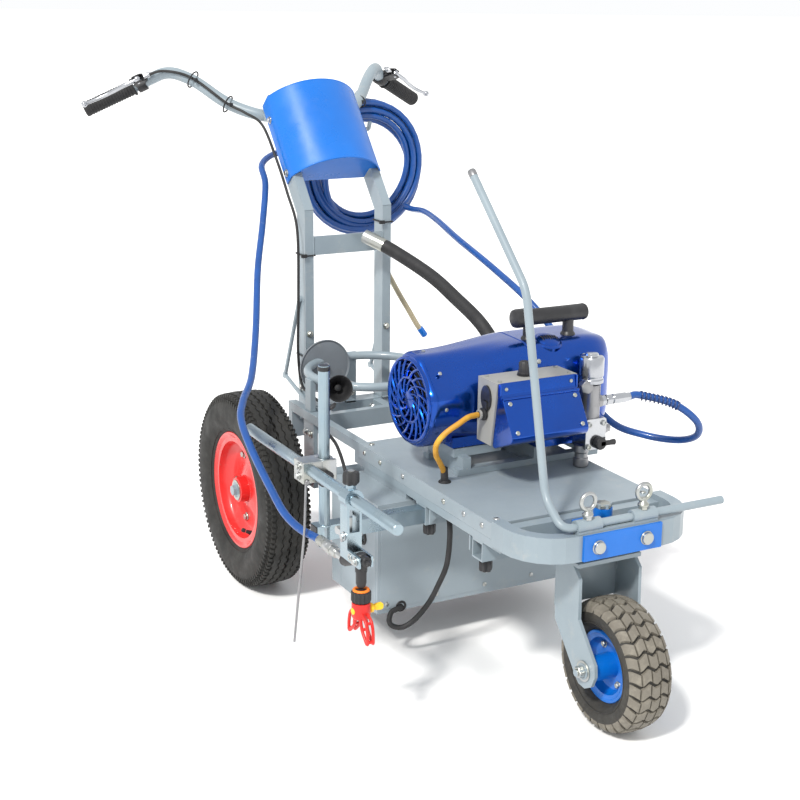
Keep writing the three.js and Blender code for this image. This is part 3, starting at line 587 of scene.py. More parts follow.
def rear_wheel(side, name):
    c = (side * 292, 0, 200)
    body = f"rear_wheel_{name}"
    s = side
    carcass = [
        (103, 32), (119, 32.3), (121, 36), (128, 40.5), (140, 45.5), (152, 47.8), (166, 48), (178, 46.4),
        (186, 43), (190, 38), (194.6, 36), (195.4, 26), (192.2, 25), (192.2, 21), (196.4, 20), (197, 6),
        (193.6, 5), (193.6, 1.6), (197.2, 1), (197.2, -1), (193.6, -1.6), (193.6, -5), (197, -6),
        (196.4, -20), (192.2, -21), (192.2, -25), (195.4, -26), (194.6, -36), (190, -38), (186, -43),
        (178, -46.4), (166, -48), (152, -47.8), (140, -45.5), (128, -40.5), (121, -36), (119, -32.3),
        (103, -32),
    ]
    tyre_piece = Piece(f"tyre_carcass_{name}", TYRE, body, "tyre_rubber")
    tyre_piece.lathe([(r, h) for r, h in carcass] + [(103, -20), (150, -32), (186, 0), (150, 32), (103, 20)],
                     c, (1, 0, 0), 96, closed=True, caps=False)
    for x0, x1 in ((3, 14), (17, 29), (-14, -3), (-29, -17)):
        zigzag_rib(tyre_piece, c, x0, x1, 191.5, 200 - abs(x0 + x1) * 0.03, 60, 1.5)
    for k in range(104):
        a = 2 * math.pi * k / 104
        for sgn in (-1, 1):
            tread_lug(tyre_piece, c, a, sgn * 32, sgn * 39, 189, 197.2, 8.6, 0.012)
            tread_lug(tyre_piece, c, a, sgn * 38.5, sgn * 45.6, 178, 189, 7, 0.004)
    for x in (44.5, -44.5):
        tyre_piece.torus((c[0] + x, c[1], c[2]), (1, 0, 0), 141, 1.2, 96, 6)
        tyre_piece.torus((c[0] + x * 0.9, c[1], c[2]), (1, 0, 0), 127, 1.4, 96, 6)
    tyre_piece.done(bevel=0, angle=30, replaces=[f"rear_tyre_{name}"])
    rim = [
        (119, 33.2), (120, 34.6), (119, 36.4), (115, 36.6), (109, 33), (104, 33.6), (100, 33), (98.5, 20),
        (96, 15), (88, 9), (78, 6), (64, 5), (52, 7), (40, 11), (31, 14), (26, 14), (25, 33), (23, 34),
        (12.6, 34), (12.6, -30), (24, -30), (25, 8), (40, 5), (64, -1), (90, 3), (96, 8), (99, -33),
        (115, -36.6), (119, -36.4), (119, -33.2), (103, -33), (102, 0), (103, 33),
    ]
    rim_piece = Piece(f"wheel_rim_{name}", RED, body, "red_paint")
    rim_piece.lathe([(r, h * s) for r, h in rim], c, (1, 0, 0), 96, closed=True, caps=False)
    rim_piece.weld([(c[0] + s * 13.6, 27 * math.sin(a), 200 + 27 * math.cos(a))
                    for a in (2 * math.pi * k / 24 for k in range(25))], 2.2)
    rim_piece.done(angle=32, replaces=[f"rear_rim_{name}"])
    bright = Piece(f"rim_bolts_{name}", ZINC, body, "zinc")
    for k in range(5):
        a = 2 * math.pi * (k + 0.3) / 5
        bright.hexbolt((c[0] + s * 5.5, 70 * math.sin(a), 200 + 70 * math.cos(a)), (s, 0, 0), 6.5, 5)
        bright.rod((c[0] - s * 2, 70 * math.sin(a), 200 + 70 * math.cos(a)),
                   (c[0] + s * 2, 70 * math.sin(a), 200 + 70 * math.cos(a)), 4)
    bright.lathe([(13, 0), (20, 0), (21, 1), (21, 2), (13, 2)], (c[0] + s * 33.8, 0, 200), (s, 0, 0), 28,
                 closed=True, caps=False)
    bright.done(bevel=0.3)
    valve = Piece(f"valve_stem_{name}", BLACK, body, "black_rubber")
    a = math.radians(205)
    at = Vector((c[0] + s * 17, 93 * math.sin(a), 200 + 93 * math.cos(a)))
    to = at + Vector((s * 15, -8 * math.sin(a), -8 * math.cos(a)))
    valve.lathe([(5, 0), (5.2, 3), (4, 8), (3.6, 14)], at, to - at, 16)
    valve.lathe([(4.2, 0), (4.2, 6), (3.4, 7)], to, to - at, 12)
    valve.done()


rear_wheel(-1, "left")
rear_wheel(1, "right")


def front_tread(body):
    """Rows of chevron blocks, each row one wave across the tyre, split by short grooves."""
    crown = ((0, 113.9), (12, 113.5), (22, 112), (31, 108.8), (37, 104), (41.5, 96))
    rows = 28

    def radius(x):
        x = abs(x)
        for (xa, ra), (xb, rb) in zip(crown, crown[1:]):
            if x <= xb:
                return ra + (rb - ra) * (x - xa) / (xb - xa)
        return crown[-1][1]

    def wave(x):
        t = (x / 13) % 2
        return 4.6 * (1 - abs(t - 1) * 2)

    p = Piece("front_tread_blocks", TREAD, body, "tyre_rubber")
    for k in range(rows):
        a = 2 * math.pi * k / rows
        cuts = (-41.3, -28, -10, 8, 26, 41.3) if k % 2 else (-41.3, -26, -8, 10, 28, 41.3)
        for xa, xb in zip(cuts, cuts[1:]):
            rings = []
            n = 6
            for i in range(n + 1):
                x = xa + 1.4 + (xb - xa - 2.8) * i / n
                r1 = radius(x)
                ring = []
                for r, w in ((r1 - 6, 21), (r1, 18.4)):
                    for sg in ((-1, 1) if r < r1 else (1, -1)):
                        b = a + (wave(x) + sg * w / 2) / 112
                        ring.append(Vector((x, -860 + r * math.sin(b), 114 + r * math.cos(b))))
                rings.append(ring)
            p.grid(rings)
    p.done(angle=30)


def front_wheel():
    c = (0, -860, 114)
    body = "front_wheel"
    prof = [
        (52, 22.3), (61.5, 22.3), (64, 27), (72, 36), (82, 41.5), (90, 41.8), (97, 38), (101, 34), (105, 27),
        (108, 14), (109, 0), (108, -14), (105, -27), (101, -34), (97, -38), (90, -41.8), (82, -41.5),
        (72, -36), (64, -27), (61.5, -22.3), (52, -22.3), (52, -15), (86, -32), (103, 0), (86, 32), (52, 15),
    ]
    t = Piece("front_tyre_carcass", TYRE_FRONT, body, "tyre_rubber")
    t.lathe(prof, c, (1, 0, 0), 80, closed=True, caps=False)
    front_tread(body)
    for x in (39, -39):
        t.torus((x, -860, 114), (1, 0, 0), 76, 1.1, 72, 6)
    t.done(angle=28, replaces=["front_tyre"])
    rim = [
        (61, 22.8), (62, 24), (61, 25.6), (57, 26), (53, 23.5), (49, 23),
        (47, 16), (42, 9), (34, 6.5), (27, 8),
        (22, 9), (20.5, 49), (19, 50), (6.4, 50), (6.4, -50), (19, -50), (20.5, -49), (22, -9), (27, -8),
        (34, -6.5), (42, -9), (47, -16), (49, -23), (53, -23.5), (57, -26), (61, -25.6), (62, -24),
        (61, -22.8), (51.6, -22.4), (50.6, 0), (51.6, 22.4),
    ]
    r = Piece("front_wheel_rim", AZURE, body, "azure_paint")
    r.lathe(rim, c, (1, 0, 0), 72, closed=True, caps=False)
    r.done(angle=30, replaces=["front_rim"])
    b = Piece("front_rim_bolts", ZINC, body, "zinc")
    for s in (-1, 1):
        for k in range(4):
            a = 2 * math.pi * (k + 0.4) / 4
            b.hexbolt((s * 6.6, -860 + 36 * math.sin(a), 114 + 36 * math.cos(a)), (s, 0, 0), 5, 4)
    b.done(bevel=0.3)
    w = Piece("front_hub_seals", BLACK, body, "black_rubber")
    for s in (-1, 1):
        w.lathe([(8, 0), (15, 0), (16, 0.8), (16, 2), (8, 2)], (s * 49.6, -860, 114), (s, 0, 0), 28,
                closed=True, caps=False)
    w.done()
    v = Piece("front_valve", BLACK, body, "black_rubber")
    v.lathe([(4, 0), (4, 4), (3, 7), (3, 15), (2.4, 16)], (-16, -860 + 43, 114 - 12), (-0.85, -0.5, 0.1), 12)
    v.done()


front_wheel()

# ---------------------------------------------------------------- frame and deck
keep("main_frame", FRAME, 1.4)
keep("deck_plate", DECK, 1.0)
keep("front_pan", DECK, 0.5)
keep("under_deck_box", DECK, 1.6)
keep("front_plate", AZURE, 0.9)
keep("pivot_tube", AZURE, 0.7)
keep("caster_fork", FRAME, 0.9)
keep("post_frame", FRAME, 1.5)
keep("sprayer_stand", FRAME, 0.9)
keep("gun_beam", ZINC_BLUE, 1.2)
keep("gun_carriage", ZINC_BLUE, 0.6)
keep("gun_trigger", ZINC, 0.4)
keep("rod_sleeves", FRAME, 0.5)
keep("control_box", BOX_GREY, 1.6)
keep("fan", PLASTIC, 0.5)
keep("rocker_switch", PLASTIC, 0.8)

fasteners = Piece("frame_fasteners", ZINC, "cart", "zinc")
for sx in (-1, 1):
    for y in (-700, -640, -570, -420, -330, -265):
        fasteners.lathe([(5.2, 0), (5, 1), (3.6, 2.2), (1, 2.6)], (sx * 168, y, 333), (sx, 0, 0), 16)
for x in (-120, 0, 120):
    fasteners.lathe([(5.2, 0), (5, 1), (3.6, 2.2), (1, 2.6)], (x, -241, 334), (0, 1, 0), 16)
for x, y in ((-150, -716), (150, -716), (-150, -260), (150, -260)):
    fasteners.lathe([(5.5, 0), (5.3, 1), (3.8, 2.3), (1, 2.8)], (x, y, 346), (0, 0, 1), 16)
for x in (-62, 62):
    fasteners.hexbolt((x, 150, 288), (0, -1, 0), 8, 6)
for sx in (-1, 1):
    for z, y in ((350, 168), (288, 168)):
        fasteners.hexbolt((sx * 102, y, z), (sx, 0, 0), 7, 5)
    for y in (-12, 12):
        fasteners.hexbolt((sx * 164, y, 300), (sx, 0, 0), 6, 4.5)
    fasteners.hexbolt((sx * 92, 148, 470), (0, -1, 0), 5.5, 4)
for x, y in ((-140, -780), (140, -780), (-40, -775), (40, -775)):
    fasteners.lathe([(4.6, 0), (4.4, 1), (3, 2)], (x * 0.82, y, 314), (0, 0, 1), 14)
for x in (-88, 62, 182):
    for y in (-492, -378):
        fasteners.hexbolt((x + 8, y, 358), (0, 0, 1), 6, 5)
fasteners.done(bevel=0.25)

front_bolts = Piece("front_plate_bolts", ZINC, "cart", "zinc")
for x in (-49, 46):
    front_bolts.lathe([(12, 0), (12, 1.4), (10.6, 1.8), (10.6, 6), (9.4, 7)], (x, -865.2, 331), (0, -1,
            0), 24)
front_bolts.done(bevel=0.3)

welds = Piece("weld_beads", FRAME, "cart", "frame_paint")
for sx in (-1, 1):
    x = sx * 92
    welds.weld([(x - 10, 148, 308.6), (x + 10, 148, 308.6)], 2.4)
    welds.weld([(x + 10 * sx, 148, 308.6), (x + 10 * sx, 188, 308.6)], 2.4)
    welds.weld([(sx * 82, 148.4, 640), (sx * 82, 148.4, 680)], 2.4)
    welds.weld([(x - 10, 149.5, 733), (x + 10, 149.5, 733)], 2.0)
    welds.weld([(sx * 150, 75, 330), (sx * 168, 75, 330)], 2.6)
    welds.weld([(sx * 168.2, -735, 312), (sx * 168.2, -735, 350)], 2.6)
for y in (-490, -686):
    welds.weld([(-167.4, y - 16.5, 303.6), (-130, y - 16.5, 303.6)], 2.2)
    welds.weld([(-167.4, y + 16.5, 303.6), (-130, y + 16.5, 303.6)], 2.2)
welds.weld([(16.4 * math.sin(a), -805 + 16.4 * math.cos(a), 314.6)
            for a in (2 * math.pi * k / 20 for k in range(21))], 1.8)
welds.done(angle=60)

gusset = Piece("socket_gussets", FRAME, "cart", "frame_paint")
for y in (-518, -658):
    gusset.prism([(0, 0), (0, -30), (40, 0)], (-165, y, 302.7), (1, 0, 0), (0, 0, 1), (0, 4, 0))
gusset.box((-168, -478, 298), (-60, -471, 303))
gusset.done(bevel=0.6)

fork_nut = Piece("fork_nuts", ZINC, "caster", "zinc")
for sx in (-1, 1):
    fork_nut.lathe([(8, 0), (17, 0), (18, 0.8), (18, 2.2), (8, 2.2)], (sx * 63, -860, 114), (sx, 0, 0), 30,
                   closed=True, caps=False)
    fork_nut.lathe([(10.6, 0), (10.6, 9), (9, 10.6)], (sx * 66, -860, 114), (sx, 0, 0), 6)
    fork_nut.rod((sx * 62, -860, 114), (sx * 79.6, -860, 114), 6.4, 18)
fork_nut.lathe([(15.4, 0), (15.4, 6), (13, 7.6)], (0, -805, 372.5), (0, 0, 1), 6)
fork_nut.done(bevel=0.3)
fork_weld = Piece("fork_welds", FRAME, "caster", "frame_paint")
for sx in (-1, 1):
    fork_weld.weld([(sx * 57, -829, 283.4), (sx * 57, -775, 283.4), (sx * 57, -775, 242)], 2.2)
fork_weld.done(angle=60)

box_trim = Piece("box_grommets", BLACK, "cart", "black_rubber")
for y, z in ((-381, 212), (-300, 212)):
    box_trim.torus((-229, y, z), (1, 0, 0), 11.5, 3.2, 28, 10)
box_trim.lathe([(1, 0), (8.6, 0), (8.6, 1), (1, 1)], (-229.2, -300, 212), (-1, 0, 0), 20)
box_trim.torus((-180, -440, 88), (0, 1, 0), 8.8, 2.6, 24, 10)
box_trim.torus((-134, -514, 346.4), (0, 0, 1), 8.8, 2.8, 28, 10)
box_trim.done()
box_seam = Piece("box_panels", DECK, "cart", "frame_paint")
box_seam.box((-222, -440.9, 88), (222, -439.4, 284))
box_seam.box((-229.9, -434, 88), (-228.4, -400, 284))
box_seam.box((-229.9, -288, 88), (-228.4, -254, 284))
box_seam.done(bevel=0.6)
box_screws = Piece("box_screws", ZINC, "cart", "zinc")
for x in (-210, -105, 0, 105, 210):
    for z in (98, 274):
        box_screws.lathe([(4.6, 0), (4.4, 1), (3, 2)], (x, -440.8, z), (0, -1, 0), 14)
box_screws.done()

# ---------------------------------------------------------------- bucket hoop, cup and disc
hoop = Piece("hoop_ring", FRAME, "cart", "frame_paint")
hoop.torus((-18, 4, 415), (0, 0, 1), 132, 9, 96, 18)
hoop.box((-12, 134, 309), (12, 140, 424))
hoop.box((-12, 134, 308.5), (12, 149.6, 314))
hoop.box((-164, -10, 346.3), (-152, 16, 414))
hoop.weld([(-12, 133.6, 412), (12, 133.6, 412)], 2.4)
hoop.done(bevel=0.7, replaces=["bucket_hoop"])
hoop_bolt = Piece("hoop_bolts", ZINC, "cart", "zinc")
hoop_bolt.hexbolt((0, 134, 335), (0, -1, 0), 7, 5)
hoop_bolt.hexbolt((-158, 3, 352), (-1, 0, 0.0), 5, 4)
hoop_bolt.done(bevel=0.25)
cup = Piece("rubber_cup", BLACK, "cart", "black_rubber")
cup.lathe([(4, 24), (11, 22), (15, 14), (19, 4), (25, -6), (27, -14), (26, -16), (24, -14), (21, -5), (14, 8),
           (9, 15), (3, 17)], (-163, -138, 430), (0.25, 0.95, -0.15), 40)
cup.rod((-163, -138, 430), (-158, -119, 427), 7, 18)
cup.done(angle=50)
wires = Piece("cup_wires", ZINC, "cart", "zinc")
wires.tube(fillet([(-158, -120, 428), (-150, -100, 440), (-110, -88, 424), (-101, -98, 419)], 12), 2.4, 10)
wires.tube(fillet([(-158, -120, 426), (-152, -102, 418), (-112, -94, 414), (-104, -96, 412)], 10), 2.4, 10)
wires.done(angle=60)
# The disc's dark grey colour is painted shade, not a paint of its own.
disc = Piece("reel_disc", DISC_PAINTED_SHADE, "cart", "frame_paint")
disc.lathe([(2, 3.5), (20, 3.2), (48, 2), (54, 0.5), (57.5, 3), (58.5, 0), (57.5, -3), (54, -1.5), (20, -3),
            (2, -3)],
           (-72, 116, 404), (0, -1, 0), 56)
disc.rod((-72, 118, 404), (-72, 148, 404), 7, 18)
disc.done(angle=40)
disc_nut = Piece("reel_disc_nut", ZINC, "cart", "zinc")
disc_nut.hexbolt((-72, 112.4, 404), (0, -1, 0), 7, 5)
disc_nut.done(bevel=0.3)

# ---------------------------------------------------------------- shield
def shield():
    lean = math.radians(40)
    along = Vector((0, math.sin(lean), math.cos(lean)))
    normal = Vector((0, -math.cos(lean), math.sin(lean)))
    outer, rise, low = 105.3, 62, 18
    radius = (outer * outer + rise * rise) / (2 * rise)
    cn = low + rise - radius
    full = math.asin(outer / radius)

    def strip(inset):
        r = radius - inset
        pts = [(-outer + inset, -16)]
        for i in range(41):
            a = -full + 2 * full * i / 40
            pts.append((r * math.sin(a), cn + r * math.cos(a)))
        pts.append((outer - inset, -16))
        return pts

    outline = strip(0) + list(reversed(strip(3)))
    start = Vector((0, 168, 730)) + along * 80
    p = Piece("shield_sheet", AZURE, "cart", "azure_paint")
    rings = []
    for i in range(5):
        o = start + along * (200 * i / 4)
        rings.append([o + Vector((x, 0, 0)) + normal * n for x, n in outline])
    p.grid(rings)
    p.done(bevel=0.5, angle=40, replaces=["shield"])
    rim = Piece("shield_rolled_edges", AZURE, "cart", "azure_paint")
    for s in (0.6, 199.4):
        o = start + along * s
        rim.tube([o + Vector((x, 0, 0)) + normal * n for x, n in strip(1.5)[1:-1]], 2.2, 10)
    rim.done(angle=60)
    b = Piece("shield_bolts", ZINC, "cart", "zinc")
    for s in (98, 233):
        for sx in (-1, 1):
            at = Vector((sx * 105.3, 168, 730)) + along * s
            b.hexbolt(at, (sx, 0, 0), 6, 4)
    b.done(bevel=0.25)
    lid = Piece("shield_end_plate", AZURE, "cart", "azure_paint")
    face = [(-79, -14), (79, -14), (79, 21), (outer - 6, 21)] + list(reversed(strip(4)[1:-1]))[2:-2]
    face += [(6 - outer, 21), (-79, 21)]
    o = start + along * 5
    ring = [o + Vector((x, 0, 0)) + normal * n for x, n in face]
    lid.grid([ring, [q + along * 2.5 for q in ring]])
    lid.done(bevel=0.4, angle=40)


shield()

# ---------------------------------------------------------------- handlebar
GS = Vector((317, 594.6, 965.2))
ALONG = Vector((100, 41, -50)).normalized()
FORWARD = Vector((0.476, -0.839, 0.262)).normalized()


def on_grip(side, along, forward, across=0.0):
    """A point beside a grip: along it, forward of its axis and across both."""
    p = GS + ALONG * along + FORWARD * forward + ALONG.cross(FORWARD) * across
    return Vector((side * p.x, p.y, p.z))


def grip_axis(side):
    return Vector((side * ALONG.x, ALONG.y, ALONG.z))


def grip_forward(side):
    return Vector((side * FORWARD.x, FORWARD.y, FORWARD.z))


def handlebar():
    half = [(95, 363, 910), (160, 420, 934), (215, 482, 985), (258, 530, 1004), (298, 587, 974.6),
            (317, 594.6, 965.2), (413, 633.9, 917.2)]
    pts = [(-x, y, z) for x, y, z in reversed(half)] + half
    p = Piece("handlebar_tube", FRAME, "cart", "frame_paint")
    p.tube(fillet(pts, 42, 10), 13, 28)
    hook = [(0, -3, 180), (0, 36, 170), (0, 36, 92), (0, -30, 92), (0, -36, 110)]
    p.tube(fillet([tuple(a + b for a, b in zip(COIL, h)) for h in hook], 12), 5, 14)
    p.done(angle=50, replaces=["handlebar"])
    sad = Piece("handlebar_saddles", FRAME, "cart", "frame_paint")
    for s in (-1, 1):
        sad.box((s * 92 - 8.5, 345, 902), (s * 92 + 8.5, 362, 921))
        sad.weld([(s * 92 - 9, 350, 906), (s * 92 - 9, 362, 919)], 2.2)
    sad.done(bevel=0.8)
    for s, name in ((-1, "left"), (1, "right")):
        ax = grip_axis(s)
        g = Piece(f"grip_sleeve_{name}", GRIP, "cart", "black_rubber")
        prof = [(14.2, 0), (19.4, 0), (19.6, 3), (18, 4.4), (16.2, 6)]
        for k in range(16):
            z = 9 + k * 6.4
            prof += [(15.9, z), (17, z + 1.2), (17, z + 3.8), (15.9, z + 5)]
        prof += [(16.2, 112), (17, 114), (17, 119), (15.4, 122), (8, 123), (1, 123.2)]
        g.lathe(prof, on_grip(s, -2, 0), ax, 32)
        g.done(angle=40, replaces=[f"grip_{name}"])
        c = Piece(f"lever_clamp_{name}", PLASTIC, "cart", "black_plastic")
        c.lathe([(13.1, 0), (17, 0), (18, 1.5), (18, 20.5), (17, 22), (13.1, 22)], on_grip(s, -30, 0), ax, 36,
                closed=True, caps=False)
        c.prism([(0, 15), (22, 15), (24, 40), (20, 50), (2, 50), (-4, 40)], on_grip(s, -30, 0, -9.2),
                ax, grip_forward(s), on_grip(s, 0, 0, -6) - on_grip(s, 0, 0, -9.2))
        c.prism([(0, 15), (22, 15), (24, 40), (20, 50), (2, 50), (-4, 40)], on_grip(s, -30, 0, 6),
                ax, grip_forward(s), on_grip(s, 0, 0, 9.2) - on_grip(s, 0, 0, 6))
        c.prism([(-8, 17), (10, 17), (8, 34), (-8, 34)], on_grip(s, -30, 0, -6.2),
                ax, grip_forward(s), on_grip(s, 0, 0, 6.2) - on_grip(s, 0, 0, -6.2))
        c.done(bevel=1.0)
        a = Piece(f"lever_adjuster_{name}", CHROME, "cart", "chrome")
        a.lathe([(4.5, 0), (4.5, 8), (6.5, 8), (6.5, 14), (4, 15), (3.2, 22)], on_grip(s, -34, 40), -ax, 18)
        a.rod(on_grip(s, -19, 44, -9.6), on_grip(s, -19, 44, 9.6), 3.6, 14)
        a.lathe([(4, 0), (4, 3), (2, 4)], on_grip(s, -19, -17), -grip_forward(s), 6)
        a.done(bevel=0.3)
        lv = Piece(f"lever_blade_{name}", CHROME, f"lever_{name}_body", "chrome")
        path = smooth_path([on_grip(s, -19, 44), on_grip(s, 0, 45), on_grip(s, 20, 44), on_grip(s, 45, 39.5),
                            on_grip(s, 72, 38.5), on_grip(s, 95, 42), on_grip(s, 108, 46)], 6)
        lv.tube(path, [5.2 - 1.6 * i / (len(path) - 1) for i in range(len(path))], 16)
        lv.ball(on_grip(s, 110, 46), 7.2)
        lv.rod(on_grip(s, -19, 44, -5.6), on_grip(s, -19, 44, 5.6), 7.4, 20)
        lv.done(angle=50, replaces=[f"lever_{name}"])


handlebar()

ties = Piece("cable_ties", BLACK, "cart", "black_plastic")
for x, y, z, r, ax in ((-220, 476, 987, 18.5, (0.6, -0.675, -0.43)),
                       (-164, 414, 937, 18.5, (0.65, -0.64, -0.4)),
                       (160, 420, 933, 14.6, (-0.65, -0.64, -0.4))):
    ties.torus((x, y, z), ax, r, 1.7, 36, 8)
    ties.box((x - 3.5, y - r - 4, z - 4), (x + 3.5, y - r + 3, z + 4))
for sx, z in ((-1, 640), (-1, 420), (1, 700)):
    loop = [(sx * 92 - 12, 146, z), (sx * 92 + 12, 146, z), (sx * 92 + 12, 190, z), (sx * 92 - 12, 190, z)]
    ties.tube(loop, 2, 8, closed=True)
    ties.box((sx * 92 - 20, 141, z - 3), (sx * 92 - 8, 147, z + 4))
ties.done(bevel=0.6, angle=60)

# ---------------------------------------------------------------- pointer rod and eye bolts
ROD = [(215, -846, 364), (-108, -846, 364), (-105, -790, 400), (-104, -712, 728), (-103, -530, 897)]
rod_piece = Piece("pointer_rod_bar", FRAME, "pointer", "frame_paint")
rod_piece.tube(fillet(ROD, 22, 8), 7, 20)
rod_piece.done(angle=50, replaces=["pointer_rod"])
rod_cap = Piece("pointer_rod_cap", STEEL, "pointer", "black_plastic")
d = (Vector(ROD[-1]) - Vector(ROD[-2])).normalized()
rod_cap.lathe([(7.3, 0), (7.5, 2), (7.5, 12), (6.4, 13.4)], Vector(ROD[-1]) - d * 12.8, d, 20)
rod_cap.done()
for name, x in (("left", -59.5), ("right", 50.5)):
    e = Piece(f"eye_bolt_ring_{name}", ZINC, f"eye_{name}", "zinc")
    e.torus((x, -846, 404), (0, 1, 0), 13.5, 3.6, 40, 14)
    e.lathe([(4, 0), (4, 7), (9, 7.4), (9.4, 9), (9.4, 11), (8, 12.4), (5, 16), (4.2, 22)], (x, -846, 372.2),
            (0, 0, 1), 24)
    e.done(angle=45, replaces=[f"eye_bolt_{name}"])
nuts = Piece("sleeve_nuts", ZINC, "cart", "zinc")
for x in (-59.5, 50.5):
    nuts.lathe([(4.6, 0), (8.2, 0), (8.2, 5), (4.6, 5)], (x, -846, 374), (0, 0, 1), 6,
               closed=True, caps=False)
nuts.done(bevel=0.3)


# ---------------------------------------------------------------- gun side
def star_knob(name, at, axis, radius, height, body, node, stem):
    """A moulded knob with lobes, a metal insert and a screwed stem."""
    x, y, z = frame_of(axis)
    o = Vector(at)
    p = Piece(name, PLASTIC, body, "black_plastic")
    rings = []
    for h, k in ((0, 0.86), (0.14, 1.0), (0.74, 1.0), (0.95, 0.9), (1.0, 0.74)):
        ring = []
        for i in range(48):
            a = 2 * math.pi * i / 48
            r = radius * k * (0.88 + 0.12 * math.cos(6 * a))
            ring.append(o + z * (h * height) + (x * math.cos(a) + y * math.sin(a)) * r)
        rings.append(ring)
    p.grid(rings)
    p.done(angle=35, replaces=[node])
    s = Piece(f"{name}_stem", ZINC, body, "zinc")
    s.rod(o - z * stem, o + z * 1, 3.9, 16)
    s.lathe([(5.6, 0), (5.6, 1.2), (3, 1.4)], o + z * height, z, 18)
    s.done()


star_knob("rear_socket_knob", (-150, -490, 263), (0, 0, -1), 12, 20, "knob_rear", "socket_knob_rear", 6.5)
star_knob("front_socket_knob", (-150, -686, 263), (0, 0, -1), 12, 20, "knob_front", "socket_knob_front", 6.5)
star_knob("rod_clamp_knob", (-373, -516.6, 392), (0, -1, 0), 15, 21.4, "knob_clamp", "clamp_knob", 3.8)
star_knob("ring_clamp_knob", (-395, -668, 430.5), (0, 0, 1), 14, 21.5, "knob_carriage", "carriage_knob", 8)

socket_nuts = Piece("socket_nuts", ZINC, "cart", "zinc")
for y in (-490, -686):
    socket_nuts.lathe([(4.6, 0), (8, 0), (8, 3.4), (4.6, 3.4)], (-150, y, 263.3), (0, 0, 1), 6,
                      closed=True, caps=False)
socket_nuts.done(bevel=0.2)

pole_cap = Piece("pole_cap", PLASTIC, "beam", "black_plastic")
pole_cap.lathe([(10.2, 0), (10.6, 1), (10.6, 7), (8, 9.6), (1, 10)], (-362, -497, 573), (0, 0, 1), 28)
pole_cap.lathe([(10.2, 0), (10.6, 1), (10.6, 6), (8, 8), (1, 8.4)], (-362, -497, 265.6), (0, 0, -1), 28)
pole_cap.done()
beam_end = Piece("beam_end_plug", PLASTIC, "beam", "black_plastic")
beam_end.box((-379.6, -502.6, 271.4), (-374, -477.4, 296.6))
beam_end.done(bevel=1.0)
beam_weld = Piece("beam_welds", ZINC_BLUE, "beam", "zinc")
beam_weld.weld([(-362 + 10.4 * math.sin(a), -497 + 10.4 * math.cos(a), 297.8)
                for a in (math.pi * (k / 10 - 0.5) + math.pi for k in range(11))], 2.2)
beam_weld.done(angle=60)

rod_bar = Piece("gun_rod_bar", ZINC_BLUE, "rod_holder", "zinc")
rod_bar.lathe([(8.6, 0), (10, 1.4), (10, 583.6), (8.6, 585)], (-395, -245, 407), (0, -1, 0), 32)
rod_bar.done(angle=45, replaces=["gun_rod"])
block = Piece("rod_clamp_block", ZINC, "rod_holder", "zinc")
block.box((-410, -516, 384), (-374, -478, 421))
for y0, y1 in ((-516, -508.5), (-485.5, -478)):
    block.box((-375, y0, 384), (-347, y1, 421))
block.lathe([(10.5, 0), (15, 0), (15, 37), (10.5, 37)], (-362, -497, 384), (0, 0, 1), 36,
            closed=True, caps=False)
block.done(bevel=1.2)
block_bolts = Piece("rod_clamp_bolts", ZINC, "rod_holder", "zinc")
for z in (394, 411):
    block_bolts.hexbolt((-353, -478, z), (0, 1, 0), 5.5, 4)
    block_bolts.hexbolt((-410, -497, z), (-1, 0, 0), 5.5, 4)
block_bolts.done(bevel=0.25)

ring_bolts = Piece("ring_clamp_bolts", ZINC, "carriage", "zinc")
for x, s in ((-408, -1), (-382, 1)):
    ring_bolts.hexbolt((x, -668, 344), (s, 0, 0), 5.5, 4)
    ring_bolts.hexbolt((x, -710, 315), (s, 0, 0), 5.5, 4)
    ring_bolts.lathe([(3, 0), (6.6, 0), (6.6, 1), (3, 1)], (x, -690, 315), (s, 0, 0), 20,
                     closed=True, caps=False)
ring_bolts.done(bevel=0.25)
trigger_pin = Piece("trigger_pin", STEEL, "carriage", "zinc")
trigger_pin.rod((-410, -662, 336), (-403.4, -662, 336), 4.4, 14)
trigger_pin.rod((-386.4, -662, 336), (-380, -662, 336), 4.4, 14)
trigger_pin.done()

gun = Piece("spray_gun_body", PLASTIC, "carriage", "black_plastic")
gun.lathe([(7, 0), (8.6, 2), (8.6, 14), (10, 16), (10, 30), (8.8, 33), (8.8, 50), (7, 57)], (-395, -705, 325),
          (0, 0, -1), 32)
gun.lathe([(6, 0), (8.2, 3), (8.2, 62), (9.4, 66), (7, 70)], (-395, -705, 316), (0, 65, -26), 24)
gun.prism([(-718, 300), (-690, 300), (-652, 284), (-652, 300), (-690, 318), (-718, 318)], (-399.5, 0, 0),
          (0, 1, 0), (0, 0, 1), (9, 0, 0))
gun.lathe([(6, 0), (8.6, 1), (8.6, 12), (6.8, 13)], (-395, -714, 317), (0, -1, 0), 24)
gun.lathe([(4.4, 0), (4.8, 4), (3.4, 9)], (-395, -726, 317), (0, -1, 0), 20)
gun.done(bevel=0.6, replaces=["gun_body"])
nut = Piece("gun_retaining_nut", PLASTIC, "carriage", "black_plastic")
rings = []
for h, k in ((0, 0.9), (1, 1.0), (17, 1.0), (19, 0.9)):
    rings.append([Vector((-395, -705, 261.4 - h))
                  + Vector((math.cos(a), math.sin(a), 0)) * 16.4 * k * (0.95 + 0.05 * math.cos(14 * a))
                  for a in (2 * math.pi * i / 84 for i in range(84))])
nut.grid(rings)
nut.done(angle=35)
insert = Piece("gun_orange_insert", ORANGE_PLASTIC, "carriage", "red_plastic")
insert.torus((-395, -705, 262.4), (0, 0, 1), 11.4, 2.6, 40, 12)
insert.done()
fitting = Piece("gun_hose_fitting", ZINC, "carriage", "zinc")
fitting.lathe([(6.6, 0), (6.6, 26), (9, 27), (9, 44)], (-395, -644, 294), (0, 1, 0), 24)
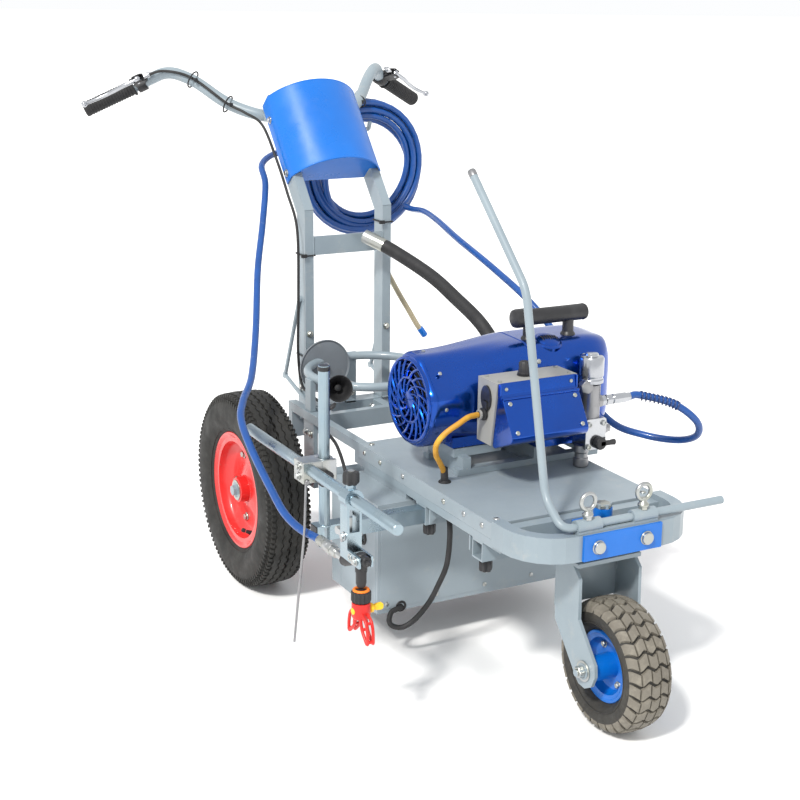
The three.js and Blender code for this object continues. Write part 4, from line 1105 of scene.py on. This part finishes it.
fitting.lathe([(10.8, 0), (10.8, 14), (9.4, 15.4)], (-395, -602, 294), (0, 1, 0), 6)
fitting.lathe([(9.2, 0), (9.2, 13), (7.2, 14.6)], (-395, -587, 294), (0, 1, 0), 24)
fitting.done(bevel=0.3)
swivel = Piece("hose_swivel_sleeve", ZINC, "carriage", "zinc")
swivel.lathe([(7.6, 0), (8.8, 0.6), (8.8, 6), (8.2, 8), (8.8, 10), (8.8, 22), (7.6, 24)], (-395, -571, 294),
             (0, 1, 0), 28)
swivel.done()

guard = Piece("tip_guard_wings", RED_PLASTIC, "carriage", "red_plastic")
guard.lathe([(15, 0), (15.4, 2), (15.4, 24), (13, 27.4), (6, 27.4), (6, 25), (4, 25)],
            (-395, -705, 241.4), (0, 0, -1), 36)
for s in (-1, 1):
    wing = [(-395, -705 + s * 10, 226), (-395, -705 + s * 27, 216), (-395, -705 + s * 33, 200),
            (-395, -705 + s * 33, 181), (-395, -705 + s * 22, 189), (-395, -705 + s * 13, 200),
            (-395, -705 + s * 8, 217)]
    for dx in (-5, 5):
        guard.tube([(x + dx, y, z) for x, y, z in smooth_path(wing, 5)], 2.7, 10)
    for y, z in ((27, 214), (33, 184), (14, 199)):
        guard.rod((-401, -705 + s * y, z), (-389, -705 + s * y, z), 2.7, 10)
guard.done(angle=50, replaces=["tip_guard"])
key = Piece("tip_key_handle", YELLOW_PLASTIC, "tip", "yellow_plastic")
key.lathe([(5, 0), (6, 1), (6, 31), (4, 32)], (-411, -705, 228), (1, 0, 0), 28)
key.lathe([(6, 0), (8, 2), (8, 6), (6, 7.6)], (-381, -705, 228), (1, 0, 0), 24)
key.prism([(0, -2.6), (6, -5.4), (16, -6), (19, -3), (19, 3), (16, 6), (6, 5.4), (0, 2.6)],
          (-374.5, -708, 228),
          (1, 0, 0), (0, 0, 1), (0, 6, 0))
key.done(bevel=0.8, replaces=["tip_key"])
pointer = Piece("needle_pointer", STEEL, "rod_holder", "zinc")
pointer.tube(fillet([(-403, -512, 386), (-409, -522, 352), (-413, -526, 300), (-420, -516, 190),
                     (-422, -500, 92)], 14), 2.2, 10)
pointer.hexbolt((-403, -514, 388), (0, -1, 0), 4.5, 4)
pointer.done(angle=50)

boot = Piece("mains_boot", PLASTIC, "cart", "black_plastic")
boot.lathe([(8.6, 0), (9.2, 2), (7, 4), (6.6, 26), (5.6, 28)], (-134, -514, 346.2), (-0.08, -0.04, 1), 24)
boot.done()

# ---------------------------------------------------------------- trigger cable
CABLE = [
    tuple(on_grip(-1, -38, 40)), (-272, 519.5, 1003.8), (-225, 469.5, 991), (-170, 406, 940),
    (-144, 367, 922), (-123, 320, 899), (-117, 262, 835), (-116, 205, 766), (-118, 152, 695),
    (-122, 140, 547),
    (-126, 135, 440), (-126, 118, 372), (-129, 60, 360), (-144, -60, 366), (-190, -180, 411),
    (-260, -300, 440), (-326, -410, 450), (-340, -500, 440), (-356, -570, 410), (-374, -615, 386),
    (-388, -640, 375), (-394.5, -654.5, 370),
]
cord("brake_cable_upper", CABLE, 3, BLACK, "black_rubber", span=(0, 15), replaces=["trigger_cable"], sides=10)
for cable_name, a, b, first, second in (("beam", 15, 16, "cart", "beam"),
                                        ("rod", 16, 17, "beam", "rod_holder"),
                                        ("gun", 17, 21, "rod_holder", "carriage")):
    cord(f"brake_cable_{cable_name}", CABLE, 3, BLACK, "black_rubber", span=(a, b), sides=10,
         blend=(first, second, CABLE[a], CABLE[b]))

# ---------------------------------------------------------------- sprayer
AX = Vector((0, -430, 480))


def rounded(outline, radius, per=6):
    """A flat outline with rounded corners."""
    n = len(outline)
    out = []
    for i in range(n):
        a, b, c = (Vector(outline[k % n]) for k in (i - 1, i, i + 1))
        r = min(radius, (b - a).length * 0.45, (c - b).length * 0.45)
        s, e = b.lerp(a, r / (b - a).length), b.lerp(c, r / (c - b).length)
        out.extend(s.lerp(b, k / per).lerp(b.lerp(e, k / per), k / per) for k in range(per + 1))
    return out


def spokes(outline, centre, count):
    """Where rays from a centre at equal angles meet a flat outline."""
    c = Vector(centre)
    pts = [Vector(q) - c for q in outline]
    out = []
    for k in range(count):
        a = 2 * math.pi * k / count
        d = Vector((math.cos(a), math.sin(a)))
        best = 0.0
        for u, v in zip(pts, pts[1:] + pts[:1]):
            e = v - u
            det = d.x * e.y - d.y * e.x
            if abs(det) < 1e-9:
                continue
            t = (u.x * e.y - u.y * e.x) / det
            w = (u.x * d.y - u.y * d.x) / det
            if t > best and -1e-6 <= w <= 1 + 1e-6:
                best = t
        out.append(c + d * best)
    return out


HUB = (-430, 486)
ROUND = 120
OCTAGON = spokes(rounded([(-430 + a, 480 + b) for a, b in ((86, -25), (86, 25), (25, 86), (-25, 86),
                                                           (-86, 25),
                                                           (-86, -25), (-25, -86), (25, -86))], 13),
                                                                   HUB, ROUND)
CASE = spokes(rounded([(-520, 405), (-350, 405), (-345, 520), (-368, 566), (-400, 580), (-500, 578),
                       (-522, 540)], 26), HUB, ROUND)


def shell_ring(x, inset=0.0):
    """The sprayer's outer skin at x: an octagon at the fan that eases into the drive case."""
    t = min(1.0, max(0.0, (x + 130) / 190))
    t = t * t * (3 - 2 * t)
    u = max(0.0, (x - 160) / 73)
    ky, kz = 1 - 0.36 * u ** 2.4, 1 - 0.16 * u ** 2.4
    out = []
    for a, b in zip(OCTAGON, CASE):
        q = a.lerp(b, t)
        d = Vector(((q.x - HUB[0]) * ky, (q.y - HUB[1]) * kz))
        d *= (d.length - inset) / d.length
        out.append(Vector((x, HUB[0] + d.x, HUB[1] + d.y)))
    return out


def circle_ring(x, radius):
    out = []
    for k in range(ROUND):
        a = 2 * math.pi * k / ROUND
        out.append(AX + Vector((x, radius * math.cos(a), radius * math.sin(a))))
    return out


def shroud():
    """The fan end: a smooth shell, a bezel round the intake and curved bars with thin rings."""
    p = Piece("fan_cover", BLUE, "cart", "metallic_blue")
    rings = [shell_ring(40.0, 1.6)]
    rings += [shell_ring(x) for x in (38.4, 20, 0, -20, -40, -60, -80, -100, -120, -135, -146)]
    rings += [shell_ring(-153, 0.6), shell_ring(-158, 2.4), shell_ring(-161.6, 5.4)]
    rings += [circle_ring(-162.6, 75.5), circle_ring(-161, 73.6), circle_ring(-150, 73.4),
              circle_ring(-40, 76), circle_ring(38.4, 76)]
    p.grid(rings, closed_path=True)
    for ring, (r0, r1, count) in enumerate(((16, 40, 11), (42, 74.5, 19))):
        for k in range(count):
            a0 = 2 * math.pi * k / count
            pts = []
            for i in range(7):
                t = i / 6
                r = r0 + (r1 - r0) * t
                a = a0 + (0.42 if ring else 0.6) * t
                pts.append(AX + Vector((-160.5 - 2.6 * math.cos(t * 1.2), r * math.cos(a), r * math.sin(a))))
            p.tube(pts, 2.7 if ring else 2.4, 8)
    for r, x, w in ((41, -162.4, 3.2), (75.6, -161.4, 4.2), (28, -161, 1.3), (53, -160.6, 1.3),
                    (64.5, -160, 1.3)):
        p.torus(AX + Vector((x, 0, 0)), (1, 0, 0), r, w, 72, 10)
    p.lathe([(15.5, 0), (17, 2), (16, 4.2), (8, 5.4), (1, 5.8)], AX + Vector((-159, 0, 0)), (-1, 0, 0), 40)
    p.box((-98, -478, 393), (18, -382, 412))
    p.done(angle=34, replaces=["fan_shroud"])
    s = Piece("fan_cover_screws", ZINC, "cart", "zinc")
    for y, z, n in ((-429, 566.2, (0, 0, 1)), (-515.8, 480, (0, -1, 0)), (-344.2, 480, (0, 1, 0)),
                    (-490.4, 420.6, (0, -1, -1)), (-490.4, 539.4, (0, -1, 1))):
        s.lathe([(3.6, -2), (3.6, 1.0), (2.2, 1.8), (0.6, 2)], (-134, y, z), n, 14)
    s.done()


shroud()


def housing():
    """The drive end of the shell, which draws in to a blunt nose."""
    p = Piece("drive_cover", BLUE, "cart", "metallic_blue")
    rings = [shell_ring(40.6, 2.2)]
    rings += [shell_ring(x) for x in (42.4, 60, 80, 100, 120, 140, 160, 175, 188, 198, 206, 213, 219)]
    rings += [shell_ring(224, 1.4), shell_ring(228, 4.4), shell_ring(230.6, 9.5), shell_ring(231.6, 17)]
    p.grid(rings)
    p.box((62, -512, 381), (208, -398, 410))
    p.done(angle=34, replaces=["drive_housing"])
    port = Piece("suction_port", ZINC, "cart", "zinc")
    port.lathe([(11, 0), (13, 0.6), (13, 9), (16, 9.4), (16, 14), (14.6, 15.4)], (150, -350, 430),
               (0, 1, 0), 24)
    port.done(bevel=0.3)
    up = Vector((0, -0.34, 0.94)).normalized()
    o = Vector((92, -487, 572.4))
    dome = Piece("drive_vent_dome", BLUE, "cart", "metallic_blue")
    dome.lathe([(27, -4), (27, 2), (25.6, 4), (23, 5), (22, 5), (20, 8), (13, 10.6), (2, 11.4)], o, up, 48)
    dome.done(angle=30)
    slots = Piece("drive_vent_slots", PLASTIC, "cart", "black_plastic")
    along = Vector((1, 0, 0))
    for k in range(-3, 4):
        side = up.cross(along)
        a = o + along * (k * 4.6) - side * (15 - abs(k)) + up * 6.4
        b = o + along * (k * 4.6) + side * (15 - abs(k)) + up * 6.4
        m = a.lerp(b, 0.5) + up * (5.6 - abs(k) * 0.5)
        slots.tube(smooth_path([a, m, b], 6), 1.2, 8)
    slots.done()
    sc = Piece("drive_cover_screws", ZINC, "cart", "zinc")
    for x in (52, 150):
        for y, z, n in ((-520.6, 424, (0, -1, 0)), (-347.6, 470, (0, 1, 0)), (-520.4, 548, (0, -0.9, 0.3))):
            sc.lathe([(4.4, -2), (4.4, 1.6), (2.6, 2.6), (0.7, 2.8)], (x, y, z), n, 14)
    sc.done()


housing()

handle = Piece("carry_handle_grip", PLASTIC, "cart", "black_plastic")
handle.lathe([(1, 0), (11, 0.8), (16, 4), (17.4, 9), (17.4, 26), (16.2, 33), (15, 38), (15, 150), (15.6, 153),
              (14, 157.4), (9, 159.6), (1, 160)], (25, -470, 618), (1, 0, 0), 40)
for x, r in ((60, 9.5), (147, 10.5)):
    handle.lathe([(r + 4, -3), (r + 3, 1), (r, 5), (r, 40)], (x, -470, 579.5), (0, 0, 1), 28)
handle.done(angle=34, replaces=["carry_handle"])

lid = Piece("control_lid", BLUE, "cart", "metallic_blue")
lid_side = rounded([(-576, 417), (-633, 441), (-637, 452), (-601, 511), (-593, 514), (-590.5, 538),
                    (-587.5, 538), (-570.5, 421)], 5, 3)
rings = []
for x, k in ((-72, 0.985), (-70.4, 1.0), (84.4, 1.0), (86, 0.985)):
    rings.append([Vector((x, -590 + (q.x + 590) * k, 470 + (q.y - 470) * k)) for q in lid_side])
lid.grid(rings)
lid.tube([(-72, -600, 512), (86, -600, 512)], 3, 12)
lid.box((-73.4, -594, 514), (-70, -586, 537))
lid.box((84, -594, 514), (87.4, -586, 537))
lid.done(bevel=0.7, angle=34, replaces=["box_cover"])
lid_screws = Piece("control_lid_screws", ZINC, "cart", "zinc")
for x in (-60, 74):
    for t in (0.12, 0.88):
        lid_screws.lathe([(4, -1), (4, 1.6), (2.4, 2.6), (0.6, 2.8)], (x, -637 + 36 * t, 452 + 59 * t),
                         (0, -0.854, 0.521), 14)
    lid_screws.lathe([(3.4, -1), (3.4, 1.4), (2, 2.2), (0.5, 2.4)], (x, -591.7, 527), (0, -1, 0.1), 14)
lid_screws.done()
box_bits = Piece("control_box_details", PLASTIC, "cart", "black_plastic")
box_bits.lathe([(9, 0), (11.5, 1), (11.5, 5), (9.5, 6), (9.5, 9), (7, 12), (5.3, 13.6)],
               (-75, -548, 474), (-1, 0, 0), 24)
oval = [Vector((-554 + 16 * math.cos(a), 504 + 23 * math.sin(a))) for a in
        (2 * math.pi * k / 72 for k in range(72))]
slot = [(-562.6, 483.8), (-547.4, 483.8), (-547.4, 500.2), (-562.6, 500.2)]
outer, inner = (spokes(ring, (-555, 492), 72) for ring in (oval, slot))
box_bits.grid([[Vector((x, q.x, q.y)) for q in ring] for x, ring in
               ((-74.6, outer), (-78.4, outer), (-78.4, inner), (-74.6, inner))], closed_path=True)
box_bits.lathe([(12, 0), (13.4, 0.6), (13.4, 1.6), (11, 2.2)], (0, -555, 537), (0, 0, 1), 32)
box_bits.done(bevel=0.4)
box_screws2 = Piece("control_box_screws", ZINC, "cart", "zinc")
for x in (-64, 80):
    for y in (-576, -533):
        box_screws2.lathe([(3.6, -1), (3.6, 1.2), (2.2, 2.2), (0.6, 2.4)], (x, y, 537), (0, 0, 1), 14)
box_screws2.done()
knob = Piece("pressure_dial", PLASTIC, "knob_pressure", "black_plastic")
rings = []
for h, k in ((0, 1.0), (3, 1.0), (4, 0.9), (20, 0.84), (22.6, 0.7)):
    rings.append([Vector((0, -555, 539.6 + h))
                  + Vector((math.cos(a), math.sin(a), 0)) * 12.4 * k * (0.96 + 0.04 * math.cos(12 * a))
                  for a in (2 * math.pi * i / 72 for i in range(72))])
knob.grid(rings)
knob.box((-0.9, -566, 561), (0.9, -557, 562.8))
knob.done(angle=35, replaces=["pressure_knob"])


def pump():
    y = -545
    p = Piece("pump_manifold", CHROME, "cart", "chrome")
    p.lathe([(19, 0), (22.4, 1.6), (22.4, 8), (21, 9.4), (21, 13), (22.6, 14.6), (22.6, 46), (20.6, 49.6),
             (12, 51),
             (11, 55.4), (1, 56)], (151, y, 503), (0, 0, 1), 56)
    p.prism(rounded([(129.6, 381), (174.6, 381), (174.6, 440), (129.6, 440)], 6, 3), (0, -566, 0), (1, 0, 0),
            (0, 0, 1), (0, 42.6, 0))
    p.lathe([(10, 0), (10, 12), (8.6, 13.4)], (170, y, 466), (1, 0, 0), 24)
    p.lathe([(10.6, 0), (10.6, 13), (9.4, 14.4)], (184, y, 466), (1, 0, 0), 6)
    p.lathe([(8, 0), (9.2, 1.6), (9.2, 30), (8, 34), (8, 39.6)], (199, y, 466), (1, 0, 0), 28)
    p.done(bevel=0.6, angle=34, replaces=["pump"])
    b = Piece("pump_barrel", STEEL, "cart", "zinc")
    b.lathe([(18, 0), (18, 62)], (151, y, 439), (0, 0, 1), 48)
    b.lathe([(12, 0), (13, 1), (13, 16), (11, 17)], (136, y, 500), (-0.2, -1, 0), 6)
    b.lathe([(11, 0), (12.4, 1), (12.4, 22), (10.6, 23)], (151, y, 466), (1, 0, 0), 6)
    b.lathe([(12, 0), (14, 1.4), (14, 16), (12, 18), (12, 26), (14, 28), (14, 41)],
            (136, y, 346.6), (0, 0, 1), 36)
    b.lathe([(9, 0), (10, 1), (10, 18), (8, 20), (8, 25)], (170, y, 412), (1, 0, 0), 6)
    b.done(bevel=0.5, angle=34)
    n = Piece("pump_bolts", ZINC, "cart", "zinc")
    for x, z in ((136, 430), (168, 430), (136, 388)):
        n.lathe([(5, -1), (5, 4), (3, 4.2), (2.6, 2.4)], (x, -566, z), (0, -1, 0), 20)
    n.done(bevel=0.3)
    v = Piece("prime_valve_lever", PLASTIC, "valve", "black_plastic")
    v.lathe([(4.4, 0), (4.4, 4), (11, 4.4), (12, 6), (12, 15), (10, 17)], (158, -561, 394), (0, -1, 0), 32)
    v.prism([(-2, -5), (20, -4.4), (30, -5.4), (32, -2), (32, 2), (30, 5.4), (20, 4.4), (-2, 5)],
            (158, -578, 394),
            (1, 0, 0), (0, 0, 1), (0, 6, 0))
    v.done(bevel=1.0, replaces=["prime_valve"])
    o = Piece("outlet_spring_guard", HOSE_GUARD, "cart", "blue_hose")
    path = smooth_path([Vector(q) for q in FEED[1:5]], 60)
    coil = []
    for i, q in enumerate(path[:-1]):
        t = (path[i + 1] - q).normalized()
        x = Vector((0, 0, 1)).cross(t).normalized()
        z = t.cross(x)
        a = i * 0.9
        coil.append(q + (x * math.cos(a) + z * math.sin(a)) * 8.4)
    o.tube(coil[:72], 1.5, 6)
    o.done(angle=60)


pump()
zinc_pipe = Piece("suction_zinc_pipe", ZINC, "cart", "zinc")
zinc_pipe.tube(smooth_path(SUCTION[:3], 8)[:7], 14.4, 24)
zinc_pipe.done(angle=50)
tube_tip = Piece("return_tube_tip", AZURE, "cart", "azure_paint")
tube_tip.lathe([(6.2, 0), (7.4, 1), (7.4, 22), (5, 24)], Vector(RETURN[-1]) + Vector((-7, 1, 11)),
               (Vector(RETURN[-1]) - Vector(RETURN[-2])), 20)
tube_tip.done()

# ---------------------------------------------------------------- floor, light, finish
def make_floor():
    bpy.ops.mesh.primitive_plane_add(size=400, location=(0, 0, -0.001))
    floor = bpy.context.object
    floor.name = "studio_floor"
    mat = bpy.data.materials.new("floor")
    mat.use_nodes = True
    shader = mat.node_tree.nodes["Principled BSDF"]
    shader.inputs["Base Color"].default_value = (0.93, 0.93, 0.93, 1)
    shader.inputs["Roughness"].default_value = 0.9
    shader.inputs["Specular IOR Level"].default_value = 0.1
    floor.data.materials.append(mat)


def make_world():
    world = bpy.data.worlds.new("world")
    bpy.context.scene.world = world
    world.use_nodes = True
    sky = world.node_tree.nodes["Background"]
    sky.inputs["Color"].default_value = (0.98, 0.99, 1.0, 1)
    sky.inputs["Strength"].default_value = 1.0


def sun(name, direction, strength, angle, colour):
    """A broad distant light that shines from the given direction."""
    data = bpy.data.lights.new(name, "SUN")
    data.energy = strength
    data.angle = math.radians(angle)
    data.color = colour
    ob = bpy.data.objects.new(name, data)
    bpy.context.scene.collection.objects.link(ob)
    ob.rotation_euler = Vector(direction).to_track_quat("Z", "Y").to_euler()


make_floor()
make_world()
sun("key", (-0.75, -0.5, 0.95), 3.2, 7, (1.0, 0.98, 0.94))
bpy.context.scene.view_settings.view_transform = "Standard"
